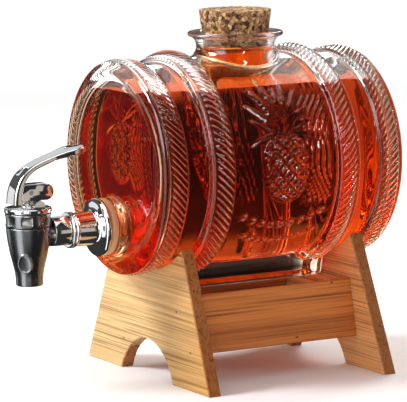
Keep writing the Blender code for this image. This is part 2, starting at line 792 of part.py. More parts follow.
def bezier(points, share):
    """A point on the Bezier curve with these control points."""
    row = [Vector(p) for p in points]
    while len(row) > 1:
        row = [a.lerp(b, share) for a, b in zip(row, row[1:])]
    return row[0]


def lever_line(share):
    """Centre line of the strap: up from its base, over the stem and back to the tip."""
    if share < LEVER_BEND:
        return bezier(LEVER_LOWER, share / LEVER_BEND)
    return bezier(LEVER_UPPER, (share - LEVER_BEND) / (1 - LEVER_BEND))


def lever_section(share):
    """The strap's chamfered cross-section, wider at the paddle and rounded off at the tip."""
    here = lever_line(share)
    ahead = lever_line(min(1.0, share + 0.01)) - lever_line(max(0.0, share - 0.01))
    ahead.normalize()
    up = Vector((-ahead.y, ahead.x))
    grow = min(1.0, max(0.0, (share - 0.62) / 0.2))
    grow = grow * grow * (3 - 2 * grow)
    half = LEVER_HALF + (PADDLE_HALF - LEVER_HALF) * grow
    thick = 2.5 - 1.25 * min(1.0, share / 0.38) + 0.45 * grow
    if share > TIP_START:
        left = (1.0 - share) / (1 - TIP_START)
        round_off = math.sqrt(max(0.0, 1 - (1 - left) ** 2))
        half *= max(0.24, round_off)
        thick *= max(0.5, round_off**0.5)
    edge = min(0.7, half * 0.3)
    ring = [
        (-half, -thick + edge), (-half + edge, -thick),
        (half - edge, -thick), (half, -thick + edge),
        (half, thick - edge), (half - edge, thick),
        (-half + edge, thick), (-half, thick - edge),
    ]
    return [(x, here.x + up.x * t, here.y + up.y * t) for x, t in ring]


def thumb_dimple():
    spot = lever_line(THUMB_SHARE)
    ahead = lever_line(THUMB_SHARE + 0.025) - lever_line(THUMB_SHARE - 0.025)
    bm = bmesh.new()
    bmesh.ops.create_uvsphere(bm, u_segments=16, v_segments=8, radius=1.0)
    bm.transform(
        Matrix.Translation((0, spot.x - 0.4, spot.y))
        @ Matrix.Rotation(math.atan2(ahead.y, ahead.x), 4, "X")
        @ Matrix.Translation((0, 0, 2.4))
        @ Matrix.Diagonal((*THUMB_RADII, 1.0))
    )
    return bm


def lever():
    # the stations lie closer together towards the tip
    shares = [
        1 - (1 - i / LEVER_STATIONS) ** 1.15 for i in range(LEVER_STATIONS + 1)
    ]
    made = part(
        loft([lever_section(share) for share in shares]),
        "lever_handle",
        metal("lever_chrome", colour=(0.83, 0.84, 0.86), roughness=0.06),
        origin=PIN_AXIS,
    )
    heel = [(-131.0, HEEL_BOTTOM), (HEEL_REAR - 3.6, HEEL_BOTTOM)]
    heel += arc((HEEL_REAR - 4.2, (HEEL_BOTTOM + HEEL_TOP) / 2), 4.3, -78, 78, 10)
    heel += [(HEEL_REAR - 4.6, HEEL_TOP), (-129.0, HEEL_TOP)]
    join(made, extrude_x(heel, HEEL_HALF_WIDTH), "lever_heel")
    slot = box((-2.1, STEM_Y - 4.9, HEEL_BOTTOM - 3.0), (2.1, STEM_Y + 4.4, 110.5))
    cut(made, slot, "lever_slot", smooth=False)
    cut(made, rod(PIN_HOLE_R, -8.0, 8.0, "X", PIN_AXIS, 24), "lever_eye")
    cut(made, thumb_dimple(), "thumb_dimple")


lever()
part(
    rod(PIN_R, -4.35, 4.35, "X", PIN_AXIS, 24, chamfer=0.2),
    "lever_pin",
    metal("lever_pin_steel", colour=(0.70, 0.70, 0.72), roughness=0.2),
    origin=PIN_AXIS,
)
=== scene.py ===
"""Looks for the barrel drink dispenser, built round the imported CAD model.

A ribbed glass barrel lies along Y on a bamboo stand. Its corked neck rises along +Z and
its lever tap stands at the -Y end. Lengths in the shape code are millimetres in the
stand's own frame (neck axis at y 0); mesh_object() turns them into metres in the frame
of the CAD model. Materials, lights and camera work in metres.
"""

import json
import math
from contextlib import contextmanager

import bmesh
import bpy
import numpy as np
from mathutils import Matrix, Vector, noise

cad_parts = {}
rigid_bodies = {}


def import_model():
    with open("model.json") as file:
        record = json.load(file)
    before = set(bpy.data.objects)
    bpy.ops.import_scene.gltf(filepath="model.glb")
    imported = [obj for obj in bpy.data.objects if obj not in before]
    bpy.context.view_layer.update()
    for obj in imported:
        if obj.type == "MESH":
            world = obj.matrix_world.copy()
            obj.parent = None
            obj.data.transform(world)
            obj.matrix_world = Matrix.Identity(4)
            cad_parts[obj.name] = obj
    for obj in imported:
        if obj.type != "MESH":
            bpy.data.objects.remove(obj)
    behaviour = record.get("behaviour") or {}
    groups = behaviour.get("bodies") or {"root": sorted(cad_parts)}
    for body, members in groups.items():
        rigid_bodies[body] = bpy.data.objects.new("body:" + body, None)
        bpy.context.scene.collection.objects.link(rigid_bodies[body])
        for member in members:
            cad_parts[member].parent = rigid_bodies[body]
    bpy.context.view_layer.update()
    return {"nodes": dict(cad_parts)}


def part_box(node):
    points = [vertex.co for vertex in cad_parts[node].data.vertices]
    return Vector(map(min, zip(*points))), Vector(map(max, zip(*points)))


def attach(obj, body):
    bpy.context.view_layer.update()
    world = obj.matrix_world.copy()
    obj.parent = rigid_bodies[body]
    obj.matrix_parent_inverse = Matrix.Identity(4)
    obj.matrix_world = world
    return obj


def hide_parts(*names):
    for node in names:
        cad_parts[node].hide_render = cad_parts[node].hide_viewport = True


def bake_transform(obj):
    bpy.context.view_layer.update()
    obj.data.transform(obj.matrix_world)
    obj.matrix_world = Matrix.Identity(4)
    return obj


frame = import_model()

scene = bpy.context.scene
MM = 0.001
cork_low, cork_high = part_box("cork_stopper")
PLACE_Y = (cork_low.y + cork_high.y) / 2 / MM  # the neck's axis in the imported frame

# ------------------------------------------------------------------ shared sizes
AXIS_Z = 112.5  # the barrel's long axis
BARREL_Y = -2.0  # the barrel's middle
TAP_Z = 82.2  # axis of the tap's shank
STEM_Y = -124.6  # axis of the valve stem
LEVEL_Z = 153.2  # the drink's surface
HEEL_BOTTOM = 99.6  # underside of the lever
ON_TAP = (0, 0, TAP_Z)
ON_STEM = (0, STEM_Y, 0)
GLASS_IOR, DRINK_IOR = 1.5, 1.34


def packed_y(y):
    """A y of the stand's frame, in millimetres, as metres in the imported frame."""
    return (y + PLACE_Y) * MM


# ------------------------------------------------------------------ mesh helpers
def empty_object(name):
    made = bpy.data.objects.new(name, bpy.data.meshes.new(name))
    scene.collection.objects.link(made)
    return made


@contextmanager
def edited(body):
    """Opens a body's mesh for editing and writes it back."""
    edit = bmesh.new()
    edit.from_mesh(body.data)
    yield edit
    edit.to_mesh(body.data)
    edit.free()


def shade(body, sharp=40.0):
    """Smooth shading, with edges steeper than sharp degrees kept hard."""
    mesh = body.data
    mesh.polygons.foreach_set("use_smooth", [True] * len(mesh.polygons))
    mesh.set_sharp_from_angle(angle=math.radians(sharp))
    mesh.update()


def mesh_object(name, points, faces, sharp=40.0):
    """A closed mesh object from points in millimetres, facing outward."""
    places = np.array(points, float) * MM
    places[:, 1] += PLACE_Y * MM
    made = empty_object(name)
    made.data.from_pydata(places.tolist(), [], [tuple(int(i) for i in face) for face in faces])
    with edited(made) as edit:
        bmesh.ops.recalc_face_normals(edit, faces=edit.faces)
        if edit.calc_volume(signed=True) < 0:
            bmesh.ops.reverse_faces(edit, faces=edit.faces)
    shade(made, sharp)
    return made


def turned(name, profile, segments, axis="Z", centre=(0.0, 0.0, 0.0), phase=0.0, sharp=40.0):
    """A body turned from (along, radius) pairs.

    A profile that starts and ends off the axis closes on itself.
    """
    points, rings = [], []
    for along, radius in profile:
        ring = []
        for i in range(1 if radius < 1e-6 else segments):
            turn = 2 * math.pi * i / segments + phase
            across, up = radius * math.cos(turn), radius * math.sin(turn)
            if axis == "Z":
                point = (centre[0] + across, centre[1] + up, along)
            elif axis == "Y":
                point = (centre[0] + across, along, centre[2] + up)
            else:
                point = (along, centre[1] + across, centre[2] + up)
            ring.append(len(points))
            points.append(point)
        rings.append(ring)
    pairs = list(zip(rings, rings[1:]))
    if profile[0][1] > 1e-6 and profile[-1][1] > 1e-6:
        pairs.append((rings[-1], rings[0]))
    faces = []
    for first, second in pairs:
        for i in range(segments):
            j = (i + 1) % segments
            if len(first) == 1:
                faces.append((first[0], second[i], second[j]))
            elif len(second) == 1:
                faces.append((first[i], second[0], first[j]))
            else:
                faces.append((first[i], second[i], second[j], first[j]))
    return mesh_object(name, points, faces, sharp)


def rod(name, start, end, radius, segments, axis, centre, phase=0.0):
    profile = [(start, 0), (start, radius), (end, radius), (end, 0)]
    return turned(name, profile, segments, axis, centre, phase)


def lofted(name, sections, sharp=40.0):
    """A capped body through closed sections with equal numbers of points."""
    count = len(sections[0])
    points = [point for section in sections for point in section]
    faces = []
    for k in range(len(sections) - 1):
        near, far = k * count, (k + 1) * count
        for i in range(count):
            j = (i + 1) % count
            faces.append((near + i, near + j, far + j, far + i))
    faces.append(tuple(range(count)))
    last = (len(sections) - 1) * count
    faces.append(tuple(last + i for i in reversed(range(count))))
    return mesh_object(name, points, faces, sharp)


def rounded(outline, steps=4, closed=False):
    """A plane polyline with rounded corners, from (along, radius, rounding) rows."""
    points = [Vector((row[0], row[1])) for row in outline]
    count = len(points)
    out = []
    for i, corner in enumerate(points):
        if not closed and i in (0, count - 1):
            out.append((corner.x, corner.y))
            continue
        before, after = points[i - 1] - corner, points[(i + 1) % count] - corner
        reach = min(outline[i][2], before.length * 0.45, after.length * 0.45)
        start = corner + before / before.length * reach
        end = corner + after / after.length * reach
        for k in range(steps + 1):
            share = k / steps
            point = (
                start * (1 - share) ** 2 + corner * 2 * share * (1 - share) + end * share * share
            )
            out.append((point.x, point.y))
    return out


def arc(centre, radius, start, end, steps):
    """Points on an arc between two angles in degrees."""
    out = []
    for i in range(steps + 1):
        turn = math.radians(start + (end - start) * i / steps)
        out.append((centre[0] + radius * math.cos(turn), centre[1] + radius * math.sin(turn)))
    return out


# side in x, side in y and the starting angle of each corner of a rectangle
CORNERS = ((1, 1, 0), (-1, 1, 90), (-1, -1, 180), (1, -1, 270))


def rounded_square(half_x, half_y, corner, centre, z, steps=10):
    points = []
    for side_x, side_y, start in CORNERS:
        middle = (
            centre[0] + side_x * (half_x - corner),
            centre[1] + side_y * (half_y - corner),
        )
        points += [(x, y, z) for x, y in arc(middle, corner, start, start + 90, steps)]
    return points


def smooth_curve(points, step):
    """Points along a centripetal Catmull-Rom curve, spaced step(x) apart by first coordinate."""
    guide = np.array(points, float)
    guide = np.vstack([2 * guide[0] - guide[1], guide, 2 * guide[-1] - guide[-2]])

    def mix(first, second, start, end, at):
        return (end - at) / (end - start) * first + (at - start) / (end - start) * second

    dense = []
    for i in range(1, len(guide) - 2):
        four = guide[i - 1 : i + 3]
        knots = [0.0]
        for first, second in zip(four, four[1:]):
            knots.append(knots[-1] + np.linalg.norm(second - first) ** 0.5)
        for at in np.linspace(knots[1], knots[2], 40, endpoint=False):
            row = four
            for gap in (1, 2):
                row = [
                    mix(row[j], row[j + 1], knots[j], knots[j + gap], at)
                    for j in range(len(row) - 1)
                ]
            dense.append(mix(row[0], row[1], knots[1], knots[2], at))
    dense.append(guide[-2])
    out, walked = [tuple(dense[0])], 0.0
    for before, after in zip(dense, dense[1:]):
        walked += float(np.linalg.norm(after - before))
        if walked >= step(after[0]):
            out.append(tuple(after))
            walked = 0.0
    if np.linalg.norm(np.array(out[-1]) - dense[-1]) > 0.3 * step(dense[-1][0]):
        out.append(tuple(dense[-1]))
    else:
        out[-1] = tuple(dense[-1])
    return out


def boolean(target, other, operation, solver):
    """Applies a boolean straight away and removes the other body."""
    step = target.modifiers.new("step", "BOOLEAN")
    step.operation, step.solver, step.object = operation, solver, other
    result = bpy.data.meshes.new_from_object(
        target.evaluated_get(bpy.context.evaluated_depsgraph_get())
    )
    target.modifiers.clear()
    old, name = target.data, target.data.name
    target.data = result
    bpy.data.meshes.remove(old)
    result.name = name
    bpy.data.objects.remove(other, do_unlink=True)


def join(target, other, solver="EXACT"):
    boolean(target, other, "UNION", solver)


def cut(target, other, solver="EXACT"):
    boolean(target, other, "DIFFERENCE", solver)


def turn_and_move(body, rotation, y, z=0.0):
    """Turns a body about the stand's origin, then moves it by y and z millimetres."""
    for vertex in body.data.vertices:
        point = rotation @ Vector((vertex.co.x, vertex.co.y - PLACE_Y * MM, vertex.co.z))
        vertex.co = (point.x, point.y + packed_y(y), point.z + z * MM)
    body.data.update()


def dress(body, *materials):
    body.data.materials.clear()
    for material in materials:
        body.data.materials.append(material)


def register(body, part, node):
    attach(body, part)
    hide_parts(node)


# ------------------------------------------------------------------ node helpers
class Nodes:
    """A small builder of shader nodes in one tree."""

    def __init__(self, tree, coordinates):
        self.tree = tree
        self.where = self.add("ShaderNodeTexCoord").outputs[coordinates]

    def add(self, kind, **values):
        """A new node; each value sets the input of that name, or else the node's property."""
        made = self.tree.nodes.new(kind)
        for key, value in values.items():
            if key in made.inputs.keys():
                made.inputs[key].default_value = value
            else:
                setattr(made, key, value)
        return made

    def link(self, output, socket):
        self.tree.links.new(output, socket)

    def feed(self, value, socket):
        """Gives a socket a number, a colour or a link."""
        if isinstance(value, (int, float)):
            socket.default_value = value
        elif isinstance(value, (list, tuple)):
            socket.default_value = (*value, 1.0)
        else:
            self.link(value, socket)

    def split(self, vector):
        made = self.add("ShaderNodeSeparateXYZ")
        self.link(vector, made.inputs[0])
        return made.outputs

    def mapped(self, scale=(1, 1, 1), location=(0, 0, 0)):
        made = self.add("ShaderNodeMapping", Scale=scale, Location=location)
        self.link(self.where, made.inputs["Vector"])
        return made.outputs["Vector"]

    def noise(self, vector, scale, detail=3.0, roughness=0.5, distortion=0.0):
        made = self.add(
            "ShaderNodeTexNoise",
            Scale=scale, Detail=detail, Roughness=roughness, Distortion=distortion,
        )
        self.link(vector, made.inputs["Vector"])
        return made.outputs["Fac"]

    def cells(self, vector, scale, feature="F1"):
        """Outputs of a Voronoi texture."""
        made = self.add("ShaderNodeTexVoronoi", feature=feature, Scale=scale)
        self.link(vector, made.inputs["Vector"])
        return made.outputs

    def cell_channel(self, vector, scale, channel):
        """One channel of the random colour of each cell."""
        made = self.add("ShaderNodeSeparateColor")
        self.link(self.cells(vector, scale)["Color"], made.inputs[0])
        return made.outputs[channel]

    def ramp(self, value, stops, interpolation="LINEAR"):
        """A colour ramp through (position, colour or grey) stops."""
        made = self.add("ShaderNodeValToRGB")
        line = made.color_ramp
        line.interpolation = interpolation
        while len(line.elements) < len(stops):
            line.elements.new(0.5)
        for element, (position, colour) in zip(line.elements, stops):
            if not isinstance(colour, (list, tuple)):
                colour = (colour, colour, colour)
            element.position = position
            element.color = (*colour, 1.0)
        self.link(value, made.inputs["Fac"])
        return made.outputs["Color"]

    def span(self, value, low, high, start=0.0, end=1.0):
        """Maps start..end to low..high."""
        made = self.add("ShaderNodeMapRange")
        made.inputs["From Min"].default_value = start
        made.inputs["From Max"].default_value = end
        made.inputs["To Min"].default_value = low
        made.inputs["To Max"].default_value = high
        self.link(value, made.inputs["Value"])
        return made.outputs["Result"]

    def rise(self, value, start, end):
        """0 before start, 1 after end."""
        return self.span(value, 0.0, 1.0, start, end)

    def fall(self, value, start, end):
        """1 before start, 0 after end."""
        return self.span(value, 1.0, 0.0, start, end)

    def band(self, value, fade_in, fade_out):
        """1 between two (start, end) fades, 0 outside."""
        return self.times(self.rise(value, *fade_in), self.fall(value, *fade_out))

    def math(self, operation, *values):
        made = self.add("ShaderNodeMath", operation=operation)
        for value, socket in zip(values, made.inputs):
            self.feed(value, socket)
        return made.outputs[0]

    def times(self, first, second):
        return self.math("MULTIPLY", first, second)

    def plus(self, first, second):
        return self.math("ADD", first, second)

    def choose(self, factor, first, second):
        """A mix of two numbers."""
        made = self.add("ShaderNodeMix", data_type="FLOAT")
        for i, value in ((0, factor), (2, first), (3, second)):
            self.feed(value, made.inputs[i])
        return made.outputs[0]

    def mix_shader(self, factor, first, second):
        made = self.add("ShaderNodeMixShader")
        for value, socket in zip((factor, first, second), made.inputs):
            self.link(value, socket)
        return made.outputs[0]

    def blend(self, factor, first, second, mode="MIX"):
        """A mix of two colours."""
        made = self.add("ShaderNodeMix", data_type="RGBA", blend_type=mode)
        for i, value in ((0, factor), (6, first), (7, second)):
            self.feed(value, made.inputs[i])
        return made.outputs[2]

    def multiply(self, factor, first, second):
        return self.blend(factor, first, second, "MULTIPLY")


class MaterialNodes(Nodes):
    """The nodes of a new material, round its Principled shader."""

    def __init__(self, name):
        self.material = bpy.data.materials.new(name)
        self.material.use_nodes = True
        super().__init__(self.material.node_tree, "Object")
        self.shader = self.tree.nodes["Principled BSDF"]
        self.output = self.tree.nodes["Material Output"]

    def set(self, **values):
        for key, value in values.items():
            self.feed(value, self.shader.inputs[key.replace("_", " ")])

    def bump(self, height, strength, depth, below=None):
        """A bump of the given depth in millimetres, on top of another if given."""
        made = self.add("ShaderNodeBump", Strength=strength, Distance=depth * MM)
        self.link(height, made.inputs["Height"])
        if below is not None:
            self.link(below, made.inputs["Normal"])
        self.link(made.outputs["Normal"], self.shader.inputs["Normal"])
        return made.outputs["Normal"]


# ------------------------------------------------------------------ materials
def glass_material(name, ior, bright_crests):
    """Clear glass, tinted by place where the drink shows through it, with painted shade on the foot
    and painted amber light round the neck above the drink.
    """
    mat = MaterialNodes(name)
    wide = mat.noise(mat.mapped(), scale=38.0, detail=2.0)
    fine = mat.noise(mat.mapped(), scale=900.0, detail=2.0)
    x, y, z = mat.split(mat.where)
    at = packed_y
    colour = mat.ramp(wide, [(0.3, (0.985, 0.99, 0.985)), (0.7, (0.995, 0.995, 0.99))])
    # below the drink's level; every fade runs from start to end
    colour = mat.blend(mat.fall(z, start=0.149, end=0.155), colour, (0.98, 0.87, 0.69))
    # the rear end
    rear = mat.times(
        mat.rise(y, start=at(36), end=at(44)), mat.fall(z, start=0.140, end=0.158)
    )
    colour = mat.blend(rear, colour, (0.92, 0.69, 0.46))
    # the front end
    front = mat.times(
        mat.fall(y, start=at(-58), end=at(-40)), mat.fall(z, start=0.140, end=0.158)
    )
    colour = mat.blend(front, colour, (1.0, 0.74, 0.50))
    # the boss round the tap
    boss = mat.times(
        mat.fall(y, start=at(-73.4), end=at(-72.6)), mat.fall(z, start=0.099, end=0.101)
    )
    colour = mat.blend(boss, colour, (1.0, 0.58, 0.27))
    # around the neck, above the drink's level, the glass is tinted amber: painted light for the
    # drink's glow seen through it
    slant = 0.55
    across = mat.plus(mat.math("SUBTRACT", y, PLACE_Y * MM), mat.times(x, slant))
    near = mat.band(across, fade_in=(-0.034, -0.020), fade_out=(0.016, 0.024))
    along = mat.band(y, fade_in=(at(-36), at(-32)), fade_out=(at(32), at(36)))
    neck = mat.band(z, fade_in=(0.151, 0.154), fade_out=(0.171, 0.175))
    colour = mat.blend(mat.times(neck, mat.times(near, along)), colour, (0.88, 0.44, 0.13))
    # the foot is darkened to a deep brown: painted shade, for the shadowed stand seen through it
    foot = mat.times(
        mat.fall(z, start=0.055, end=0.058), mat.fall(y, start=at(26), end=at(34))
    )
    colour = mat.blend(foot, colour, (0.11, 0.055, 0.03))
    # the moulded ridges catch the light along their crests
    pointiness = mat.add("ShaderNodeNewGeometry").outputs["Pointiness"]
    crest = mat.rise(pointiness, start=0.52, end=0.56)
    side = mat.band(y, fade_in=(at(-71.5), at(-70)), fade_out=(at(70), at(71.5)))
    crest = mat.times(crest, side)
    low_crest = mat.times(crest, mat.fall(z, start=0.149, end=0.155))
    colour = mat.blend(low_crest, colour, (1.0, 0.66, 0.46))
    mat.set(
        Base_Color=colour,
        Roughness=mat.span(fine, low=0.0, high=0.02, start=0.35, end=0.7),
        Transmission_Weight=mat.span(crest, low=1.0, high=0.74) if bright_crests else 1.0,
        IOR=ior,
    )
    mat.bump(wide, strength=0.22, depth=0.6)
    return mat.material


def drink_material():
    """The drink bends light only at its level; where it touches the glass, wet glass does."""
    mat = MaterialNodes("amber_drink")
    swirl = mat.noise(mat.mapped(scale=(1, 0.5, 1.4)), scale=55.0, distortion=0.6)
    height = mat.split(mat.where)["Z"]
    level = mat.math("GREATER_THAN", height, (LEVEL_Z - 0.06) * MM)
    # the surface at the drink's level glows amber: painted light, standing in for light coming up
    # through the drink
    painted_level_glow = 0.48
    mat.set(
        Base_Color=mat.ramp(swirl, [(0.3, (0.97, 0.95, 0.93)), (0.7, (1.0, 1.0, 1.0))]),
        Roughness=0.0,
        Transmission_Weight=1.0,
        IOR=mat.span(level, low=1.0, high=DRINK_IOR),
        Emission_Color=(1.0, 0.17, 0.008),
        Emission_Strength=mat.times(level, painted_level_glow),
    )
    soak = mat.add(
        "ShaderNodeVolumeAbsorption", Color=(0.93, 0.51, 0.14, 1.0), Density=52.0
    )
    mat.link(soak.outputs["Volume"], mat.output.inputs["Volume"])
    return mat.material


def cork_material():
    """Pressed cork grains of mixed tones, with dark seams and specks."""
    mat = MaterialNodes("agglomerated_cork")
    where = mat.mapped()
    # the grid of grains is bent by a noise
    warp = mat.noise(where, scale=260.0, detail=2.0)
    bent = mat.add("ShaderNodeVectorMath", operation="MULTIPLY_ADD")
    mat.link(warp, bent.inputs[0])
    bent.inputs[1].default_value = (0.0015, 0.0015, 0.0015)
    mat.link(where, bent.inputs[2])
    spot = bent.outputs[0]
    grain_scale = 520.0
    colour = mat.ramp(
        mat.cell_channel(spot, grain_scale, channel=0),
        [
            (0.0, (0.06, 0.022, 0.008)),
            (0.14, (0.16, 0.065, 0.024)),
            (0.34, (0.38, 0.18, 0.072)),
            (0.62, (0.60, 0.32, 0.135)),
            (1.0, (0.92, 0.62, 0.32)),
        ],
    )
    edge = mat.cells(spot, grain_scale, feature="DISTANCE_TO_EDGE")["Distance"]
    seam = mat.ramp(edge, [(0.0, 0.35), (0.10, 1.0)])
    colour = mat.multiply(1.0, colour, seam)
    small = mat.cell_channel(spot, scale=1100.0, channel=1)
    speck = mat.ramp(small, [(0.0, 0.28), (0.10, 0.32), (0.14, 1.0)])
    colour = mat.multiply(0.9, colour, speck)
    cloud = mat.noise(where, scale=90.0, detail=2.0)
    colour = mat.multiply(0.5, colour, mat.ramp(cloud, [(0.3, 0.72), (0.7, 1.15)]))
    mat.set(Base_Color=colour, Roughness=mat.span(cloud, low=0.78, high=0.98))
    # flat-topped grains, then fine pits
    seam_width, seam_gain = 0.22, 3.0
    height = mat.times(mat.math("MINIMUM", edge, seam_width), seam_gain)
    grains = mat.bump(height, strength=0.75, depth=0.45)
    mat.bump(mat.noise(where, scale=1500.0), strength=0.35, depth=0.25, below=grains)
    return mat.material


def bamboo_material(name, along, light, mid, dark, seed, edge=None, plus_x_shade=None):
    """Bamboo with its fibres along the given axis (0 X, 1 Y, 2 Z).

    The edge colour darkens faces turned towards X: their end grain, and painted shade on those sides
    as well. The last colour is painted shade that darkens and warms the wood towards +X.
    """
    mat = MaterialNodes(name)

    def squeezed(share):
        scale = [1.0, 1.0, 1.0]
        scale[along] = share
        return tuple(scale)

    def streaks(share, shift, **settings):
        """A noise drawn out along the fibres: the smaller the share, the longer."""
        place = (seed + shift, seed * 1.7 + shift, seed * 0.6 + shift)
        return mat.noise(mat.mapped(squeezed(share), location=place), **settings)

    cloud = streaks(0.12, shift=0.3, scale=30.0)
    strips = streaks(0.006, shift=0.1, scale=210.0, detail=2.0, distortion=0.1)
    fibre = streaks(0.012, shift=0.7, scale=1500.0, roughness=0.7, distortion=0.1)
    thread = streaks(0.008, shift=0.5, scale=640.0, detail=2.0, roughness=0.6, distortion=0.08)
    patches = streaks(0.05, shift=0.9, scale=130.0, detail=2.0)
    hair = streaks(0.008, shift=0.2, scale=1250.0, detail=1.0, distortion=0.05)
    colour = mat.ramp(strips, [(0.28, mid), (0.48, light), (0.60, light), (0.78, mid)])

    def tint(mask, amount, other):
        return mat.blend(mat.times(mask, amount), colour, other)

    # dark threads in patches, dark hairs and pale threads
    gate = mat.ramp(patches, [(0.34, 0.25), (0.62, 1.0)])
    lines = mat.times(mat.ramp(thread, [(0.37, 1.0), (0.46, 0.0)]), gate)
    colour = tint(lines, 0.80, dark)
    colour = tint(mat.ramp(hair, [(0.36, 1.0), (0.42, 0.0)]), 0.55, dark)
    paler = tuple(min(1.0, channel * 1.25) for channel in light)
    colour = tint(mat.ramp(thread, [(0.60, 0.0), (0.72, 1.0)]), 0.35, paler)
    colour = mat.multiply(0.75, colour, mat.ramp(fibre, [(0.34, 0.68), (0.62, 1.12)]))
    colour = mat.multiply(0.6, colour, mat.ramp(cloud, [(0.3, 0.82), (0.7, 1.10)]))
    # a few dark pores
    pores = mat.cells(mat.mapped(squeezed(0.6), location=(seed, 0, seed)), scale=62.0)
    pore = mat.ramp(pores["Distance"], [(0.028, 1.0), (0.045, 0.0)])
    colour = tint(pore, 0.85, (0.10, 0.045, 0.018))
    # painted shade: the wood darkens and warms towards +X, where the barrel shades the board
    if plus_x_shade:
        x = mat.split(mat.where)["X"]
        colour = mat.multiply(mat.rise(x, start=-0.005, end=0.062), colour, plus_x_shade)
    # faces turned towards X are darker: their end grain, and painted shade on those sides as well
    if edge:
        facing = mat.split(mat.add("ShaderNodeNewGeometry").outputs["Normal"])["X"]
        side = mat.ramp(mat.math("ABSOLUTE", facing), [(0.5, 0.0), (0.7, 1.0)])
        colour = mat.multiply(side, colour, edge)
    mat.set(
        Base_Color=colour,
        Roughness=mat.span(fibre, low=0.36, high=0.60),
        Specular_IOR_Level=0.35,
    )
    groove = -0.9
    mat.bump(mat.plus(fibre, mat.times(lines, groove)), strength=0.35, depth=0.12)
    return mat.material


def metal_material(name, colour, low, high, scratch=0.03, smudge=60.0):
    """Metal with roughness from low to high, bump strength scratch and noise scale smudge."""
    mat = MaterialNodes(name)
    cloud = mat.noise(mat.mapped(), scale=smudge, detail=4.0, roughness=0.6)
    fine = mat.noise(mat.mapped(scale=(1.0, 1.0, 0.25)), scale=2600.0, detail=2.0)
    darker = tuple(channel * 0.93 for channel in colour)
    cloud_share, fine_share, fine_bump = 0.7, 0.3, 0.15
    wear = mat.plus(mat.times(cloud, cloud_share), mat.times(fine, fine_share))
    mat.set(
        Base_Color=mat.blend(mat.rise(cloud, start=0.35, end=0.7), colour, darker),
        Metallic=1.0,
        Roughness=mat.span(wear, low, high, start=0.3, end=0.72),
    )
    mat.bump(mat.plus(cloud, mat.times(fine, fine_bump)), scratch, depth=0.25)
    return mat.material


def silicone_material():
    mat = MaterialNodes("silicone")
    cloud = mat.noise(mat.mapped(), scale=120.0)
    mat.set(
        Base_Color=mat.ramp(cloud, [(0.3, (0.80, 0.42, 0.20)), (0.7, (0.90, 0.52, 0.27))]),
        Roughness=mat.span(cloud, low=0.32, high=0.52),
        Subsurface_Weight=0.5,
        Subsurface_Scale=0.002,
        Transmission_Weight=0.25,
        IOR=1.41,
    )
    mat.bump(mat.noise(mat.mapped(), scale=1600.0, detail=2.0), strength=0.12, depth=0.1)
    return mat.material


def rubber_material():
    mat = MaterialNodes("moulded_rubber")
    colour = (0.045, 0.043, 0.04)
    darker = tuple(channel * 0.85 for channel in colour)
    cloud = mat.noise(mat.mapped(), scale=300.0)
    mat.set(
        Base_Color=mat.ramp(cloud, [(0.3, darker), (0.7, colour)]),
        Roughness=mat.span(cloud, low=0.52, high=0.70),
    )
    mat.bump(mat.noise(mat.mapped(), scale=2400.0, detail=2.0), strength=0.15, depth=0.1)
    return mat.material


GLASS = glass_material("pressed_glass", GLASS_IOR, bright_crests=True)
WET_GLASS = glass_material("wet_glass", GLASS_IOR / DRINK_IOR, bright_crests=False)
DRINK = drink_material()
CORK = cork_material()
CHROME = metal_material("polished_chrome", (0.86, 0.865, 0.88), low=0.03, high=0.09)
GUNMETAL = metal_material("dark_chrome", (0.28, 0.29, 0.30), low=0.20, high=0.32, scratch=0.02)
STEEL = metal_material(
    "plain_steel", (0.66, 0.665, 0.68), low=0.18, high=0.34, scratch=0.05, smudge=200.0
)
SILICONE = silicone_material()
RUBBER = rubber_material()
FACE_WOOD = bamboo_material(
    "bamboo_face", along=0, seed=0.83,
    light=(0.76, 0.51, 0.24), mid=(0.58, 0.35, 0.14), dark=(0.27, 0.125, 0.035),
    edge=(0.58, 0.34, 0.21), plus_x_shade=(0.84, 0.66, 0.45),
)
# the rear board's colours are more orange than the face bamboo: painted amber light from the drink
REAR_WOOD_PAINTED_GLOW = bamboo_material(
    "bamboo_rear_painted_glow", along=0, seed=1.73,
    light=(0.90, 0.50, 0.20), mid=(0.72, 0.36, 0.125), dark=(0.32, 0.12, 0.03),
    edge=(0.42, 0.27, 0.17),
)
# the rails' colours are darker and more orange: painted shade under the barrel and painted amber
# light from the drink
RAIL_WOOD_PAINTED_SHADE = bamboo_material(
    "bamboo_rail", along=1, seed=0.87,
    light=(0.59, 0.188, 0.040), mid=(0.465, 0.132, 0.026), dark=(0.19, 0.047, 0.009),
)
DOWEL_WOOD = bamboo_material(
    "dowel_wood", along=1, seed=2.2,
    light=(0.66, 0.46, 0.26), mid=(0.55, 0.36, 0.19), dark=(0.35, 0.2, 0.09),
)


# ------------------------------------------------------------------ glass barrel
RIBS = 96
RIB_SKEW = 0.0172  # radians of turn per millimetre along a ribbed band
RIB_DEPTH, RIB_SINK = 0.85, 0.35
# place of each mesh column within a rib's pitch, and the rib's height there
RIB_STEPS = (0.0, 0.16, 0.30, 0.40, 0.50, 0.60, 0.70, 0.84)
RIB_HEIGHTS = (0.0, 0.03, 0.25, 0.78, 1.0, 0.78, 0.25, 0.03)
COLUMNS = RIBS * len(RIB_STEPS)

